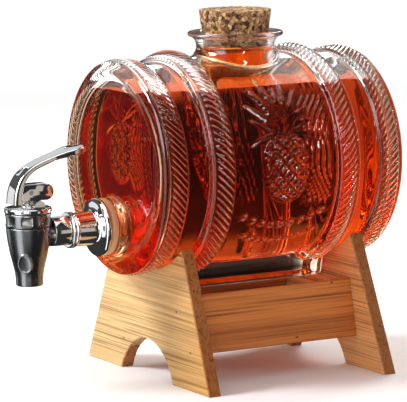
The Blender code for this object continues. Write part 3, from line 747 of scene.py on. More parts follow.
# the outside from the barrel's middle to one end: (distance from the middle, radius)
END_FACE = 72.0
OUTER_HALF = [
    (0.0, 56.1), (10.0, 56.05), (20.0, 55.8), (29.0, 55.45), (30.6, 55.3), (31.2, 55.8),
    (31.7, 57.0), (32.4, 58.1), (33.6, 58.75), (35.2, 59.2), (36.8, 59.4), (38.6, 59.15),
    (40.4, 58.4), (42.0, 57.5), (42.7, 56.75), (43.2, 57.15), (43.9, 57.2), (44.7, 56.5),
    (45.2, 55.2), (45.7, 54.1), (46.6, 53.8), (50.0, 53.7), (55.0, 53.75), (57.0, 53.8),
    (57.7, 54.2), (58.2, 55.0), (58.9, 55.7), (61.0, 56.0), (63.5, 56.2), (66.0, 56.45),
    (68.2, 56.5), (68.9, 55.95), (69.5, 56.25), (70.4, 56.1), (71.4, 55.3), (72.3, 53.9),
    (72.95, 52.2), (73.35, 50.7), (73.5, 49.5), (73.35, 48.3), (72.9, 47.2), (72.3, 46.45),
    (END_FACE, 45.6),
]
FACE_RADII = (41.0, 36.0, 30.0, 24.0, 18.0, 12.0, 6.0)  # mesh rings on each end face

# the hollow, from its middle to one end: (distance from the middle, radius)
CAVITY_HALF = [
    (0.0, 52.8), (15.0, 52.7), (28.0, 52.3), (30.5, 52.6), (32.5, 54.0), (34.5, 55.4),
    (37.5, 56.1), (40.5, 55.2), (43.5, 53.2), (46.0, 51.5), (48.5, 50.9), (55.0, 50.9),
    (57.5, 51.5), (60.5, 52.8), (63.0, 52.9), (65.0, 51.9), (66.3, 49.9), (66.9, 47.4),
    (67.0, 45.0), (67.0, 42.0),
]

# leaves over the fruit: root, bend and tip as (along, up), then width and height
LEAVES = [
    ((-3, 18), (-14, 18), (-20, 12), 2.0, 0.75), ((3, 18), (13, 19), (19, 13), 2.0, 0.75),
    ((-3, 20), (-15, 25), (-19, 27), 2.1, 0.8), ((3, 20), (14, 26), (20, 25), 2.1, 0.8),
    ((-3, 21), (-12, 30), (-20, 36), 2.3, 0.9), ((3, 21), (12, 31), (18, 33), 2.3, 0.9),
    ((-2, 22), (-8, 36), (-15, 46), 2.4, 1.0), ((2, 22), (9, 36), (14, 44), 2.4, 1.0),
    ((-1, 22), (-4, 38), (-7, 52), 2.4, 1.05), ((1, 22), (5, 38), (6.5, 51), 2.4, 1.05),
    ((0, 20), (0, 34), (0.5, 46), 2.9, 1.2), ((-2.5, 19), (-5, 27), (-9, 33), 2.5, 1.15),
    ((2.5, 19), (6, 27), (9, 32), 2.5, 1.15), ((0, 17), (-1, 25), (-2, 30), 2.8, 1.3),
]
# curved rows of drops under the fruit:
# height of the row's ends, sag, half length and half height of a drop, count, reach, slant
DROP_ROWS = [
    (-24.5, 6.5, 1.7, 2.5, 9, 23.5, 0.28),
    (-37.5, 5.0, 2.3, 1.35, 10, 20.5, 0.5),
]
RELIEF_RADIUS = 55.6  # turns an angle into a height up the barrel's side
RELIEF_GAIN = 1.3

# (z, radius) up the outside of the neck, under the lip
NECK = [
    (152.0, 25.4), (158.0, 25.0), (164.0, 24.4), (166.6, 23.6), (168.5, 22.4), (171.0, 21.1),
    (173.0, 20.95), (174.6, 21.15), (176.4, 21.9), (177.6, 23.2), (178.1, 24.2),
]
LIP_TOP, LIP_RADIUS, LIP_ROUND = 180.5, 25.4, 1.2
BORE = [
    (132.0, 0.0), (132.0, 17.6), (158.0, 17.3), (166.0, 17.0), (170.0, 17.0), (178.6, 17.9),
    (179.7, 18.1), (180.2, 18.5), (180.5, 19.0), (180.7, 19.4), (184.0, 19.4), (184.0, 0.0),
]
# (y, radius) of the round boss that the tap passes through
BOSS = [
    (-69.5, 0.0), (-69.5, 16.8), (-73.2, 16.8), (-73.9, 16.75), (-74.6, 16.2), (-75.4, 15.75),
    (-76.6, 15.45), (-77.6, 15.35), (-78.4, 15.1), (-78.85, 14.6), (-79.0, 14.0), (-79.0, 0.0),
]
# (z, inset, corner radius) of the foot's sections
FOOT_HALF_X, FOOT_HALF_Y = 23.4, 44.0
FOOT = [
    (48.5, 2.6, 7.4), (48.56, 2.0, 7.8), (48.8, 1.2, 8.2), (49.2, 0.65, 8.5), (49.8, 0.25, 8.8),
    (50.6, 0.0, 9.0), (52.5, -0.15, 9.1), (55.0, -0.4, 9.3), (58.0, -0.9, 9.6),
    (64.0, -1.2, 10.0),
]


def rib_weight(distance):
    """How strongly the rope ribs stand out at a distance from the barrel's middle."""

    def window(low, high, soft=1.1):
        rising = min(1.0, max(0.0, (distance - low) / soft))
        return rising * min(1.0, max(0.0, (high - distance) / soft))

    return max(window(32.6, 42.4), window(58.9, 68.6))


def skew_at(distance):
    """Turn of a rib, in radians: it grows only across the ribbed bands."""
    inside = max(0.0, min(distance, 42.6) - 32.4) + max(0.0, min(distance, 68.8) - 58.6)
    return RIB_SKEW * inside


def outer_step(distance):
    """Spacing of the mesh rings along the outside."""
    if distance < 30.2:
        return 0.92
    if rib_weight(distance) > 0.99:
        return 1.5
    if 46.8 < distance < 57.2:
        return 2.6
    return 0.6


def fruit_relief(along, up):
    """A domed oval crossed by a slanted grid of hollowed scales."""
    half_along, half_up, middle = 13.6, 19.0, 1.4
    pitch, slope = 5.3, 0.86
    oval = np.abs(along / half_along) ** 2.3 + np.abs((up - middle) / half_up) ** 2.3
    inside = oval < 1.0
    dome = np.where(inside, 0.55 * np.clip(1 - oval, 0, 1) ** 0.45, 0.0)
    # the grid crowds together towards the rim, as on a ball
    bulge_along = half_along * np.arcsin(np.clip(along / (half_along + 0.6), -1, 1)) * 0.66
    bulge_up = half_up * np.arcsin(np.clip((up - middle) / (half_up + 1.5), -1, 1)) * 0.80
    rising = (bulge_along + bulge_up * slope) / pitch
    falling = (bulge_along - bulge_up * slope) / pitch
    cell = np.maximum(
        np.abs(rising - np.floor(rising) - 0.5), np.abs(falling - np.floor(falling) - 0.5)
    )
    scale = np.clip((0.46 - cell) / 0.12, 0, 1)
    scale = scale * scale * (3 - 2 * scale)
    dip = np.clip((0.25 - cell) / 0.14, 0, 1)
    dip = dip * dip * (3 - 2 * dip)
    rim = np.where(inside, np.clip((1 - oval) * 5, 0, 1), 0)
    return dome + rim * (0.75 * scale - 0.55 * dip)


def leaf_relief(along, up, root, bend, tip, width, height):
    """A pointed blade along a curve, with a groove down its middle."""
    root, bend, tip = np.array((root, bend, tip), float)
    nearest = np.full(along.shape, 1e9)
    share = np.zeros(along.shape)
    for k in range(29):
        step = k / 28
        spot = root * (1 - step) ** 2 + bend * 2 * step * (1 - step) + tip * step * step
        away = np.hypot(along - spot[0], up - spot[1])
        closer = away < nearest
        nearest = np.where(closer, away, nearest)
        share = np.where(closer, step, share)
    wide = width * (1 - share) ** 0.6 * np.clip(0.5 + share * 3, 0, 1) + 0.12
    swell = np.clip(1 - (nearest / wide) ** 2, 0, 1)
    groove = 0.45 * height * np.clip(1 - nearest / (0.34 * wide), 0, 1)
    blade = height * swell**0.5 - groove
    return np.where(swell > 0, blade * (1 - 0.35 * share), 0)


def grain_relief(along, up):
    """Flowing lines on the part of the panel towards +Y."""
    flow = along + 5.0 * np.sin(up / 12.5 + 0.6) + 1.7 * np.sin(up / 4.6 + along / 9.0)
    wave = 0.5 + 0.5 * np.cos(2 * np.pi * flow / 3.3)
    keep = np.clip((along - 9.0) / 3.0, 0, 1) * np.clip((28.6 - along) / 2.0, 0, 1)
    keep *= np.clip((up + 22.0) / 4.0, 0, 1) * np.clip((43.0 - up) / 5.0, 0, 1)
    return 0.55 * wave**1.6 * keep


def relief(along, up):
    """Height of the moulded ornament, at places along the barrel and up its side."""
    high = np.maximum(np.zeros_like(along), fruit_relief(along, up))
    for leaf in LEAVES:
        high = np.maximum(high, leaf_relief(along, up, *leaf))
    high = np.where(high <= 0.001, grain_relief(along, up), high)
    for level, sag, half_along, half_up, count, reach, slant in DROP_ROWS:
        for k in range(count):
            centre = -reach + 2 * reach * k / (count - 1)
            rise = up - (level - sag * (1 - (centre / reach) ** 2))
            shift = along - centre - slant * rise
            oval = (shift / half_along) ** 2 + (rise / half_up) ** 2
            drop = 0.95 * np.clip(1 - oval, 0, 1) ** 0.5 - 0.5 * np.clip(1 - oval * 5.0, 0, 1)
            high = np.maximum(high, drop)
    return high


def outer_shell():
    """The barrel's outside: rope ribs follow the mesh columns, ornament on both side panels."""
    half = smooth_curve(OUTER_HALF, outer_step) + [(END_FACE, radius) for radius in FACE_RADII]
    rows = [(-away, radius, away) for away, radius in half[::-1]]
    rows += [(away, radius, away) for away, radius in half[1:]]
    steps = np.repeat(np.arange(RIBS), len(RIB_STEPS)) + np.tile(RIB_STEPS, RIBS)
    base = steps * (2 * np.pi / RIBS)
    rib = np.tile(RIB_HEIGHTS, RIBS)
    points = [np.array([[0.0, BARREL_Y - END_FACE, AXIS_Z]])]
    for y, ring_radius, away in rows:
        turn = base + skew_at(away)
        radius = np.full(COLUMNS, ring_radius)
        radius = radius + rib_weight(away) * (rib * RIB_DEPTH - RIB_SINK)
        along = np.full(COLUMNS, y)
        if away < 30.4:
            fade = np.clip((29.6 - away) / 0.9, 0, 1)
            # the angle up from each side, +X first
            for start in (turn, np.pi - turn):
                angle = (start + np.pi) % (2 * np.pi) - np.pi
                near = np.abs(angle) < 1.15
                up = np.where(near, angle, 9.0) * RELIEF_RADIUS
                radius = radius + np.where(near, RELIEF_GAIN * relief(along, up), 0.0) * fade
        if away == END_FACE:
            swell = 0.10 * np.sin(ring_radius / 7.0 + 2.0 * turn)
            swell = swell + 0.06 * np.sin(ring_radius / 3.1 - turn * 3)
            along = along + math.copysign(1.0, y) * swell * min(1.0, ring_radius / 20.0)
        points.append(
            np.stack(
                [radius * np.cos(turn), BARREL_Y + along, AXIS_Z + radius * np.sin(turn)], -1
            )
        )
    points.append(np.array([[0.0, BARREL_Y + END_FACE, AXIS_Z]]))
    points = np.vstack(points)
    j = np.arange(COLUMNS)
    k = (j + 1) % COLUMNS
    faces = [(0, 1 + after, 1 + here) for here, after in zip(j, k)]
    for row in range(len(rows) - 1):
        near, far = 1 + row * COLUMNS, 1 + (row + 1) * COLUMNS
        faces += np.stack([near + j, near + k, far + k, far + j], -1).tolist()
    last, tip = 1 + (len(rows) - 1) * COLUMNS, len(points) - 1
    faces += [(tip, last + here, last + after) for here, after in zip(j, k)]
    return mesh_object("barrel_glass", points, faces, sharp=60.0)


def cavity_body(name, grow):
    """The barrel's hollow as a body, grown outward by grow."""
    half = smooth_curve(CAVITY_HALF, lambda away: 3.2 if away < 28 else 1.2)
    out = []
    for i, (away, radius) in enumerate(half):
        run = Vector(half[min(i + 1, len(half) - 1)]) - Vector(half[max(i - 1, 0)])
        normal = Vector((-run.y, run.x)).normalized()
        if i == 0:
            normal = Vector((0, 1))
        if i == len(half) - 1:
            normal = Vector((1, 0))
        out.append((away + normal.x * grow, radius + normal.y * grow))
    profile = [(BARREL_Y - out[-1][0], 0.0)]
    profile += [(BARREL_Y - away, radius) for away, radius in out[::-1]]
    profile += [(BARREL_Y + away, radius) for away, radius in out[1:]]
    profile += [(BARREL_Y + out[-1][0], 0.0)]
    return turned(name, profile, 180, "Y", (0, 0, AXIS_Z), phase=0.004, sharp=60.0)


def near_joint(x, y, z):
    """Whether a point lies close to where the neck or the foot meets the barrel."""
    radius = math.hypot(x, z - AXIS_Z)
    if z > 150:
        heights, radii = [150, 158, 164, 168.5, 171, 174.5], [25.6, 25.0, 24.4, 22.4, 21.0, 21.1]
        neck = float(np.interp(z, heights, radii))
        return abs(math.hypot(x, y) - neck) < 1.9 and abs(radius - 55.9) < 2.2
    if z < 66 and abs(radius - 55.6) < 1.7:
        outside = max(abs(x) - 24.0, abs(y - BARREL_Y) - 44.6)
        return -1.8 < outside < 1.6
    return False


def soften_joints(body):
    """Smooths the mesh round the joints, as glass flows into a fillet."""
    with edited(body) as edit:
        picked = [
            vert
            for vert in edit.verts
            if near_joint(vert.co.x / MM, vert.co.y / MM - PLACE_Y, vert.co.z / MM)
        ]
        for _ in range(14):
            bmesh.ops.smooth_vert(
                edit, verts=picked, factor=0.5,
                use_axis_x=True, use_axis_y=True, use_axis_z=True,
            )


def in_hollow(face):
    """Whether a face belongs to the hollow's wall."""
    reach = np.array(CAVITY_HALF)
    spot = face.calc_center_median() / MM
    away = abs(spot.y - PLACE_Y - BARREL_Y)
    wall = np.interp(away, reach[:, 0], reach[:, 1]) + 0.4
    return away < 67.2 and math.hypot(spot.x, spot.z - AXIS_Z) < wall


def wet_the_hollow(body):
    """Gives the hollow's wall below the drink's level the second material slot."""
    with edited(body) as edit:
        for face in edit.faces:
            face.material_index = 0
        wall = [face for face in edit.faces if in_hollow(face)]
        parts = set(wall)
        for face in wall:
            parts.update(face.edges)
            parts.update(face.verts)
        level = LEVEL_Z * MM
        bmesh.ops.bisect_plane(
            edit, geom=list(parts), dist=1e-8, plane_co=(0, 0, level), plane_no=(0, 0, 1)
        )
        for face in edit.faces:
            if face.calc_center_median().z < level and in_hollow(face):
                face.material_index = 1


def build_barrel():
    # each turned part has its own small phase, so that no edges coincide
    body = outer_shell()
    neck = [(150.0, 0.0), (150.0, 25.5)] + smooth_curve(NECK, lambda z: 0.9)
    neck += arc((LIP_TOP - LIP_ROUND, LIP_RADIUS - LIP_ROUND), LIP_ROUND, 180, 0, 14)[1:]
    neck += [(LIP_TOP, 22.0), (LIP_TOP, 19.0), (LIP_TOP, 0.0)]
    join(body, turned("neck", neck, 200, phase=0.0113), "MANIFOLD")
    join(body, turned("boss", BOSS, 150, "Y", ON_TAP, phase=0.013), "MANIFOLD")
    foot = [
        rounded_square(FOOT_HALF_X - inset, FOOT_HALF_Y - inset, corner, (0, BARREL_Y), z)
        for z, inset, corner in FOOT
    ]
    join(body, lofted("foot", foot, sharp=60), "MANIFOLD")
    soften_joints(body)
    cut(body, cavity_body("cavity", grow=0.0), "MANIFOLD")
    cut(body, turned("bore", BORE, 180, phase=0.007), "MANIFOLD")
    cut(body, rod("tap_hole", -81.0, -62.0, 7.6, 72, "Y", ON_TAP, phase=0.009), "MANIFOLD")
    dress(body, GLASS, WET_GLASS)
    wet_the_hollow(body)
    shade(body, 42.0)
    register(body, "barrel", "glass_barrel")


def build_drink():
    """The drink fills the hollow up to its level and overlaps the glass a little."""
    body = cavity_body("drink", grow=0.14)
    cutter = empty_object("cutter")
    size = (0.3, 0.3, 0.08, 1)
    with edited(cutter) as edit:
        bmesh.ops.create_cube(edit, size=1.0)
        place = Matrix.Translation((0, packed_y(0), (LEVEL_Z + 40) * MM))
        edit.transform(place @ Matrix.Diagonal(size))
    cut(body, cutter, "MANIFOLD")
    shade(body, 35.0)
    dress(body, DRINK)
    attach(body, "barrel")


build_barrel()
build_drink()


# ------------------------------------------------------------------ cork
# (z, radius, rounding)
CORK_OUTLINE = [
    (173.0, 0.0, 0), (173.0, 17.0, 0.8), (180.5, 17.8, 3.0), (192.2, 19.4, 0.9), (192.2, 0.0, 0),
]


def build_cork():
    profile = rounded(CORK_OUTLINE, steps=5)
    fine = []
    for (z, radius), (next_z, next_radius) in zip(profile, profile[1:]):
        count = max(1, int(math.hypot(next_z - z, next_radius - radius) / 0.55))
        fine += [
            (z + (next_z - z) * i / count, radius + (next_radius - radius) * i / count)
            for i in range(count)
        ]
    fine.append(profile[-1])
    fine = [row for i, row in enumerate(fine) if row[1] > 1e-6 or i in (0, len(fine) - 1)]
    body = turned("cork", fine, 200, sharp=50.0)
    mesh = body.data
    normals = [vertex.normal.copy() for vertex in mesh.vertices]
    # roughen the part above the glass
    for vertex, normal in zip(mesh.vertices, normals):
        spot = vertex.co / MM
        if spot.z < 180.4:
            continue
        coarse = noise.noise(spot * 0.45)
        cell = noise.voronoi(spot * 0.55)[0]
        pit = min(0.0, (cell[1] - cell[0]) - 0.16) * 1.5
        vertex.co += normal * MM * (0.16 * coarse + pit - 0.08)
    mesh.update()
    shade(body, 60.0)
    dress(body, CORK)
    register(body, "cork", "cork_stopper")


build_cork()


# ------------------------------------------------------------------ tap
# Outlines are (along the axis, radius, rounding); plain profiles leave out the rounding.
TAP_OUTER = [
    (55.4, 0, 0), (55.4, 7.0, 0.7), (60.6, 7.2, 2), (64.0, 7.8, 2), (67.4, 8.6, 2),
    (70.5, 9.4, 2), (73.7, 10.1, 2), (79.0, 11.0, 2), (83.5, 11.5, 2), (86.0, 11.7, 0.5),
    (86.0, 0, 0),
]
SPIGOT = [
    (-112.2, 0, 0), (-112.2, 7.6, 0.5), (-103.0, 7.75, 0.6), (-103.0, 5.4, 0.1),
    (-96.0, 5.4, 0.2), (-96.0, 0, 0),
]
CHAMBER = [
    (53.4, 0), (53.4, 5.4), (55.2, 5.4), (55.7, 5.0), (66.0, 4.6), (67.6, 3.4), (70.0, 3.4),
    (70.0, 6.5), (77.9, 6.5), (79.5, 8.2), (88.0, 8.2), (88.0, 0),
]
# the round pad on the tap's side, as shares of its half sizes across
PAD = [
    (-3.0, 0), (-3.0, 1.0), (0.35, 1.0), (0.68, 0.95), (0.78, 0.88), (0.72, 0.80),
    (0.5, 0.74), (0.42, 0.66), (0.46, 0.0),
]
PAD_HALF_WIDTH, PAD_HALF_HEIGHT = 4.0, 5.6
PAD_REACH, PAD_Z = 9.0, 67.8
PAD_TURN, PAD_TILT = 52, 12  # degrees
SHANK = [
    (-102.7, 5.7, 0.1), (-102.7, 9.0, 0.3), (-102.2, 9.5, 0.3), (-101.5, 9.5, 0.3),
    (-101.1, 9.0, 0.2), (-100.7, 9.0, 0.2), (-100.3, 9.5, 0.3), (-99.5, 9.5, 0.3),
    (-99.0, 8.8, 0.4), (-88.6, 9.1, 1.0), (-87.4, 10.4, 0.9), (-86.8, 13.6, 0.9),
    (-86.0, 15.0, 0.6), (-85.0, 15.4, 0.5), (-83.8, 15.4, 0.35), (-83.2, 14.8, 0.3),
    (-83.2, 7.0, 0.1), (-59.2, 7.0, 0.2), (-58.5, 6.3, 0.2), (-58.5, 3.4, 0.1),
    (-95.7, 3.4, 0.1), (-95.7, 5.7, 0.1),
]
WASHER = [(-82.9, 7.3, 0.2), (-82.9, 15.0, 0.9), (-79.3, 15.0, 0.9), (-79.3, 7.3, 0.2)]
SPRING_LOW, SPRING_HIGH, SPRING_TURNS = 79.2, 93.2, 5
SPRING_RADIUS, WIRE_RADIUS = 5.2, 0.55
COLLAR_LOW, COLLAR_HIGH, COLLAR_RADIUS = 86.3, 93.3, 11.9
RECESSES = 8
CAP_LOW, CAP_TOP, CAP_RADIUS = 93.6, 96.2, 12.3
POST_Y = STEM_Y + 5.2  # the round-topped post that the lever rocks on
POST_RADIUS, POST_HALF_X, POST_GAP = 3.0, 3.93, 0.3


def build_tap_body():
    body = turned("tap_body_shell", rounded(TAP_OUTER, steps=5), 96, "Z", ON_STEM, sharp=34.0)
    join(body, rod("root", -119.0, -111.0, 5.5, 48, "Y", (0, 0, 80.1), phase=0.05))
    join(body, turned("spigot", rounded(SPIGOT), 80, "Y", ON_TAP, phase=0.02))
    turn = math.radians(PAD_TURN)
    pad_y = packed_y(STEM_Y - PAD_REACH * math.cos(turn))
    place = (
        Matrix.Translation((PAD_REACH * math.sin(turn) * MM, pad_y, PAD_Z * MM))
        @ Matrix.Rotation(turn - math.pi / 2, 4, "Z")
        @ Matrix.Rotation(math.radians(PAD_TILT), 4, "Y")
    )
    pad = turned("pad", PAD, 56, "X")
    for vertex in pad.data.vertices:
        spot = Vector((vertex.co.x, vertex.co.y - PLACE_Y * MM, vertex.co.z))
        vertex.co = place @ Vector((spot.x, spot.y * PAD_HALF_WIDTH, spot.z * PAD_HALF_HEIGHT))
    pad.data.update()
    join(body, pad)
    cut(body, turned("chamber", CHAMBER, 64, "Z", ON_STEM, phase=0.01))
    cut(body, rod("way", STEM_Y + 2.0, -92.0, 2.9, 36, "Y", ON_TAP, phase=0.12))
    dress(body, GUNMETAL, CHROME)
    # the spigot is bright
    for face in body.data.polygons:
        face.material_index = 1 if face.center.y > packed_y(-112.4) else 0
    shade(body, 34.0)
    register(body, "barrel", "tap_body")


def build_shank():
    body = turned("tap_shank_shell", rounded(SHANK, closed=True), 120, "Y", ON_TAP)
    dress(body, CHROME)
    register(body, "barrel", "tap_shank")


def build_washer():
    body = turned("outer_washer_ring", rounded(WASHER, closed=True), 110, "Y", ON_TAP)
    dress(body, SILICONE)
    register(body, "barrel", "outer_washer")


def build_spring():
    """The coil between the stem's shoulder and the cap."""
    low, high = SPRING_LOW + WIRE_RADIUS, SPRING_HIGH - WIRE_RADIUS
    steps, sides = SPRING_TURNS * 40, 12
    sections = []
    for i in range(steps + 1):
        share = i / steps
        turn = 2 * math.pi * SPRING_TURNS * share
        # the end turns lie closer together
        eased = min(1.0, max(0.0, (share * SPRING_TURNS - 0.8) / (SPRING_TURNS - 1.6)))
        z = low + (high - low) * (0.18 * share + 0.82 * eased)
        ring = []
        for j in range(sides):
            around = 2 * math.pi * j / sides
            radius = SPRING_RADIUS + WIRE_RADIUS * math.cos(around)
            x, y = radius * math.cos(turn), STEM_Y + radius * math.sin(turn)
            ring.append((x, y, z + WIRE_RADIUS * math.sin(around)))
        sections.append(ring)
    body = lofted("valve_spring_coil", sections)
    dress(body, STEEL)
    y = packed_y(STEM_Y)
    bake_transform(body)
    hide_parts("valve_spring")


def build_collar():
    """A ring with a row of rounded recesses round its side."""
    outline = [
        (COLLAR_LOW, 8.5, 0.15), (COLLAR_LOW, COLLAR_RADIUS - 0.1, 0.45),
        (COLLAR_HIGH, COLLAR_RADIUS, 0.45), (COLLAR_HIGH, 8.5, 0.15),
    ]
    body = turned(
        "collar_ring", rounded(outline, closed=True), 160, "Z", ON_STEM, sharp=34.0
    )
    # (distance from the collar's surface, growth of the section)
    depths = ((-0.8, -0.25), (-0.62, 0.0), (-0.2, 0.05), (2.0, 0.5))
    for i in range(RECESSES):
        sections = []
        for depth, grow in depths:
            square = rounded_square(3.1 + grow, 2.3 + grow, 0.8, (0, 0), 0.0, steps=5)
            sections.append(
                [(COLLAR_RADIUS + depth, x, y + (COLLAR_LOW + COLLAR_HIGH) / 2) for x, y, _ in square]
            )
        recess = lofted("recess", sections)
        turn = 2 * math.pi * (i + 0.35) / RECESSES
        turn_and_move(recess, Matrix.Rotation(turn, 4, "Z"), STEM_Y)
        cut(body, recess)
    shade(body, 34.0)
    dress(body, GUNMETAL)
    register(body, "barrel", "bonnet_collar")


def build_cap():
    outline = [
        (CAP_LOW, 0, 0), (CAP_LOW, CAP_RADIUS, 0.6), (CAP_TOP, CAP_RADIUS, 1.3),
        (CAP_TOP, 4.2, 0.4), (CAP_TOP + 1.2, 3.7, 0.4), (CAP_TOP + 1.2, 0, 0),
    ]
    body = turned("cap_ring", rounded(outline, steps=6), 120, "Z", ON_STEM, sharp=34.0)
    join(body, rod("guide", 89.5, CAP_LOW + 0.9, 3.1, 40, "Z", ON_STEM, phase=0.02))
    post = arc((POST_Y, HEEL_BOTTOM - POST_GAP - POST_RADIUS), POST_RADIUS, 0, 180, 24)
    post += [(POST_Y - POST_RADIUS, CAP_TOP - 0.6), (POST_Y + POST_RADIUS, CAP_TOP - 0.6)]
    join(body, lofted("post", [[(x, y, z) for y, z in post] for x in (-POST_HALF_X, POST_HALF_X)]))
    cut(body, rod("hole", 86.0, 104.0, 2.03, 40, "Z", ON_STEM, phase=0.01))
    shade(body, 34.0)
    dress(body, CHROME)
    register(body, "barrel", "bonnet_cap")


# ------------------------------------------------------------------ lever
PIN_Z = 104.0
HEEL_TOP, HEEL_REAR = 108.2, -111.7
# control points (y, z) of the strap's two curves; the share of the length where they meet
LOW_CURVE = ((-132.1, 98.4), (-132.2, 104.5), (-131.2, 112.6), (-121.5, 117.2))
HIGH_CURVE = ((-121.5, 117.2), (-112.5, 121.0), (-99.0, 124.4), (-90.6, 124.4))
CURVES_MEET = 0.42


def bezier(points, share):
    row = [Vector(point) for point in points]
    while len(row) > 1:
        row = [first.lerp(second, share) for first, second in zip(row, row[1:])]
    return row[0]


def lever_line(share):
    """Middle of the strap, as (y, z), at a share of its length."""
    if share < CURVES_MEET:
        return bezier(LOW_CURVE, share / CURVES_MEET)
    return bezier(HIGH_CURVE, (share - CURVES_MEET) / 0.58)


def lever_tilt(start, end):
    """Rotation about X that lays the Y axis along the strap between two shares."""
    ahead = lever_line(end) - lever_line(start)
    return Matrix.Rotation(math.atan2(ahead.y, ahead.x), 4, "X")


def strap_ring(half, thick, corner):
    """Section of the strap: rounded corners and a slightly crowned top."""
    ring = []
    flat = half - corner
    for side_x, side_y, start in CORNERS:
        middle = (side_x * flat, side_y * (thick - corner))
        ring += arc(middle, corner, start, start + 90, 5)
        if side_x == side_y:
            ring += [(side_x * flat * k, side_y * thick) for k in (0.6, 0.2, -0.2, -0.6)]
    return [(x, y + (0.22 * (1 - (x / half) ** 2) if y > 0 else 0.0)) for x, y in ring]


def lever_strap():
    """The bent strap, thick at its foot, wider towards its rounded free end."""
    stations = 84
    sections = []
    for i in range(stations + 1):
        share = 1 - (1 - i / stations) ** 1.2
        here = lever_line(share)
        ahead = lever_line(min(1.0, share + 0.008)) - lever_line(max(0.0, share - 0.008))
        ahead.normalize()
        up = Vector((-ahead.y, ahead.x))
        grow = min(1.0, max(0.0, (share - 0.62) / 0.2))
        grow = grow * grow * (3 - 2 * grow)
        half = 5.5 + 1.9 * grow
        thick = 2.5 - 1.25 * min(1.0, share / 0.38) + 0.45 * grow
        if share > 0.84:
            left = (1.0 - share) / 0.16
            taper = math.sqrt(max(0.0, 1 - (1 - left) ** 2))
            half *= max(0.2, taper)
            thick *= max(0.5, taper**0.5)
        corner = min(0.85, half * 0.5, thick * 0.72)
        sections.append(
            [
                (x, here.x + up.x * rise, here.y + up.y * rise)
                for x, rise in strap_ring(half, thick, corner)
            ]
        )
    return lofted("lever_strap", sections, sharp=40)


def lever_heel():
    """The block at the strap's foot, with softened sides and a round rear."""
    outline = [(-131.0, HEEL_BOTTOM), (HEEL_REAR - 3.6, HEEL_BOTTOM)]
    outline += arc((HEEL_REAR - 4.2, (HEEL_BOTTOM + HEEL_TOP) / 2), 4.3, -78, 78, 20)
    outline += [(HEEL_REAR - 4.6, HEEL_TOP), (-129.0, HEEL_TOP)]
    count = len(outline)
    middle = Vector((sum(y for y, _ in outline) / count, sum(z for _, z in outline) / count))
    layers = []
    for x, inset in ((-4.5, 0.5), (-4.35, 0.18), (-4.0, 0.0), (4.0, 0.0), (4.35, 0.18), (4.5, 0.5)):
        ring = []
        for point in outline:
            away = Vector(point) - middle
            away = away * (1 - inset / away.length)
            ring.append((x, middle.x + away.x, max(HEEL_BOTTOM, middle.y + away.y)))
        layers.append(ring)
    return lofted("heel", layers)


def stem_slot():
    """Cutter for the slot through the heel, round the stem."""
    half_x, front, rear = 2.1, STEM_Y - 4.9, STEM_Y + 4.4
    corners = ((-half_x, front), (half_x, front), (half_x, rear), (-half_x, rear))
    return lofted("slot", [[(x, y, z) for x, y in corners] for z in (HEEL_BOTTOM - 3.0, 110.5)])


def thumb_dimple():
    """Cutter for the oval dimple near the strap's free end."""
    share, lift = 0.875, 2.5
    half_x, half_y, half_z = 4.9, 6.8, 1.7
    spot = lever_line(share)
    ball = empty_object("dimple")
    with edited(ball) as edit:
        bmesh.ops.create_uvsphere(edit, u_segments=56, v_segments=28, radius=1.0)
        edit.transform(
            Matrix.Translation((0, packed_y(spot.x - 0.4), spot.y * MM))
            @ lever_tilt(share - 0.02, share + 0.02)
            @ Matrix.Translation((0, 0, lift * MM))
            @ Matrix.Diagonal((half_x * MM, half_y * MM, half_z * MM, 1.0))
        )
    return ball


def strap_window():
    """Cutter for the shallow framed window on the bend of the strap."""
    levels = ((0.75, -0.2), (1.0, 0.0), (4.0, 0.4))  # (height, growth)
    window = lofted(
        "window",
        [rounded_square(2.9 + grow, 3.1 + grow, 0.9, (0, 0), z, steps=5) for z, grow in levels],
    )
    spot = lever_line(0.335)
    turn_and_move(window, lever_tilt(0.31, 0.36), spot.x, spot.y)
    return window


def build_lever():
    body = lever_strap()
    join(body, lever_heel())
    cut(body, stem_slot())
    cut(body, rod("eye", -8.0, 8.0, 1.25, 40, "X", (0, STEM_Y, PIN_Z)))
    cut(body, thumb_dimple())
    cut(body, strap_window())
    shade(body, 32.0)
    dress(body, CHROME)
    register(body, "lever", "lever_handle")


build_tap_body()
build_shank()
build_spring()
build_washer()
build_collar()
build_cap()
build_lever()

# ------------------------------------------------------------------ carried-over CAD nodes
nodes = frame["nodes"]
for node, finish in (
    ("stand_front_board", FACE_WOOD),
    ("stand_rear_board", REAR_WOOD_PAINTED_GLOW),
    ("stand_near_rail", RAIL_WOOD_PAINTED_SHADE),
    ("stand_far_rail", RAIL_WOOD_PAINTED_SHADE),
    ("lever_pin", STEEL),
    ("valve_stem", STEEL),
    ("shank_nut", STEEL),
    ("valve_seal", RUBBER),
    ("inner_washer", SILICONE),
):
    dress(nodes[node], finish)
for node in nodes:
    if node.startswith("dowel_"):
        dress(nodes[node], DOWEL_WOOD)


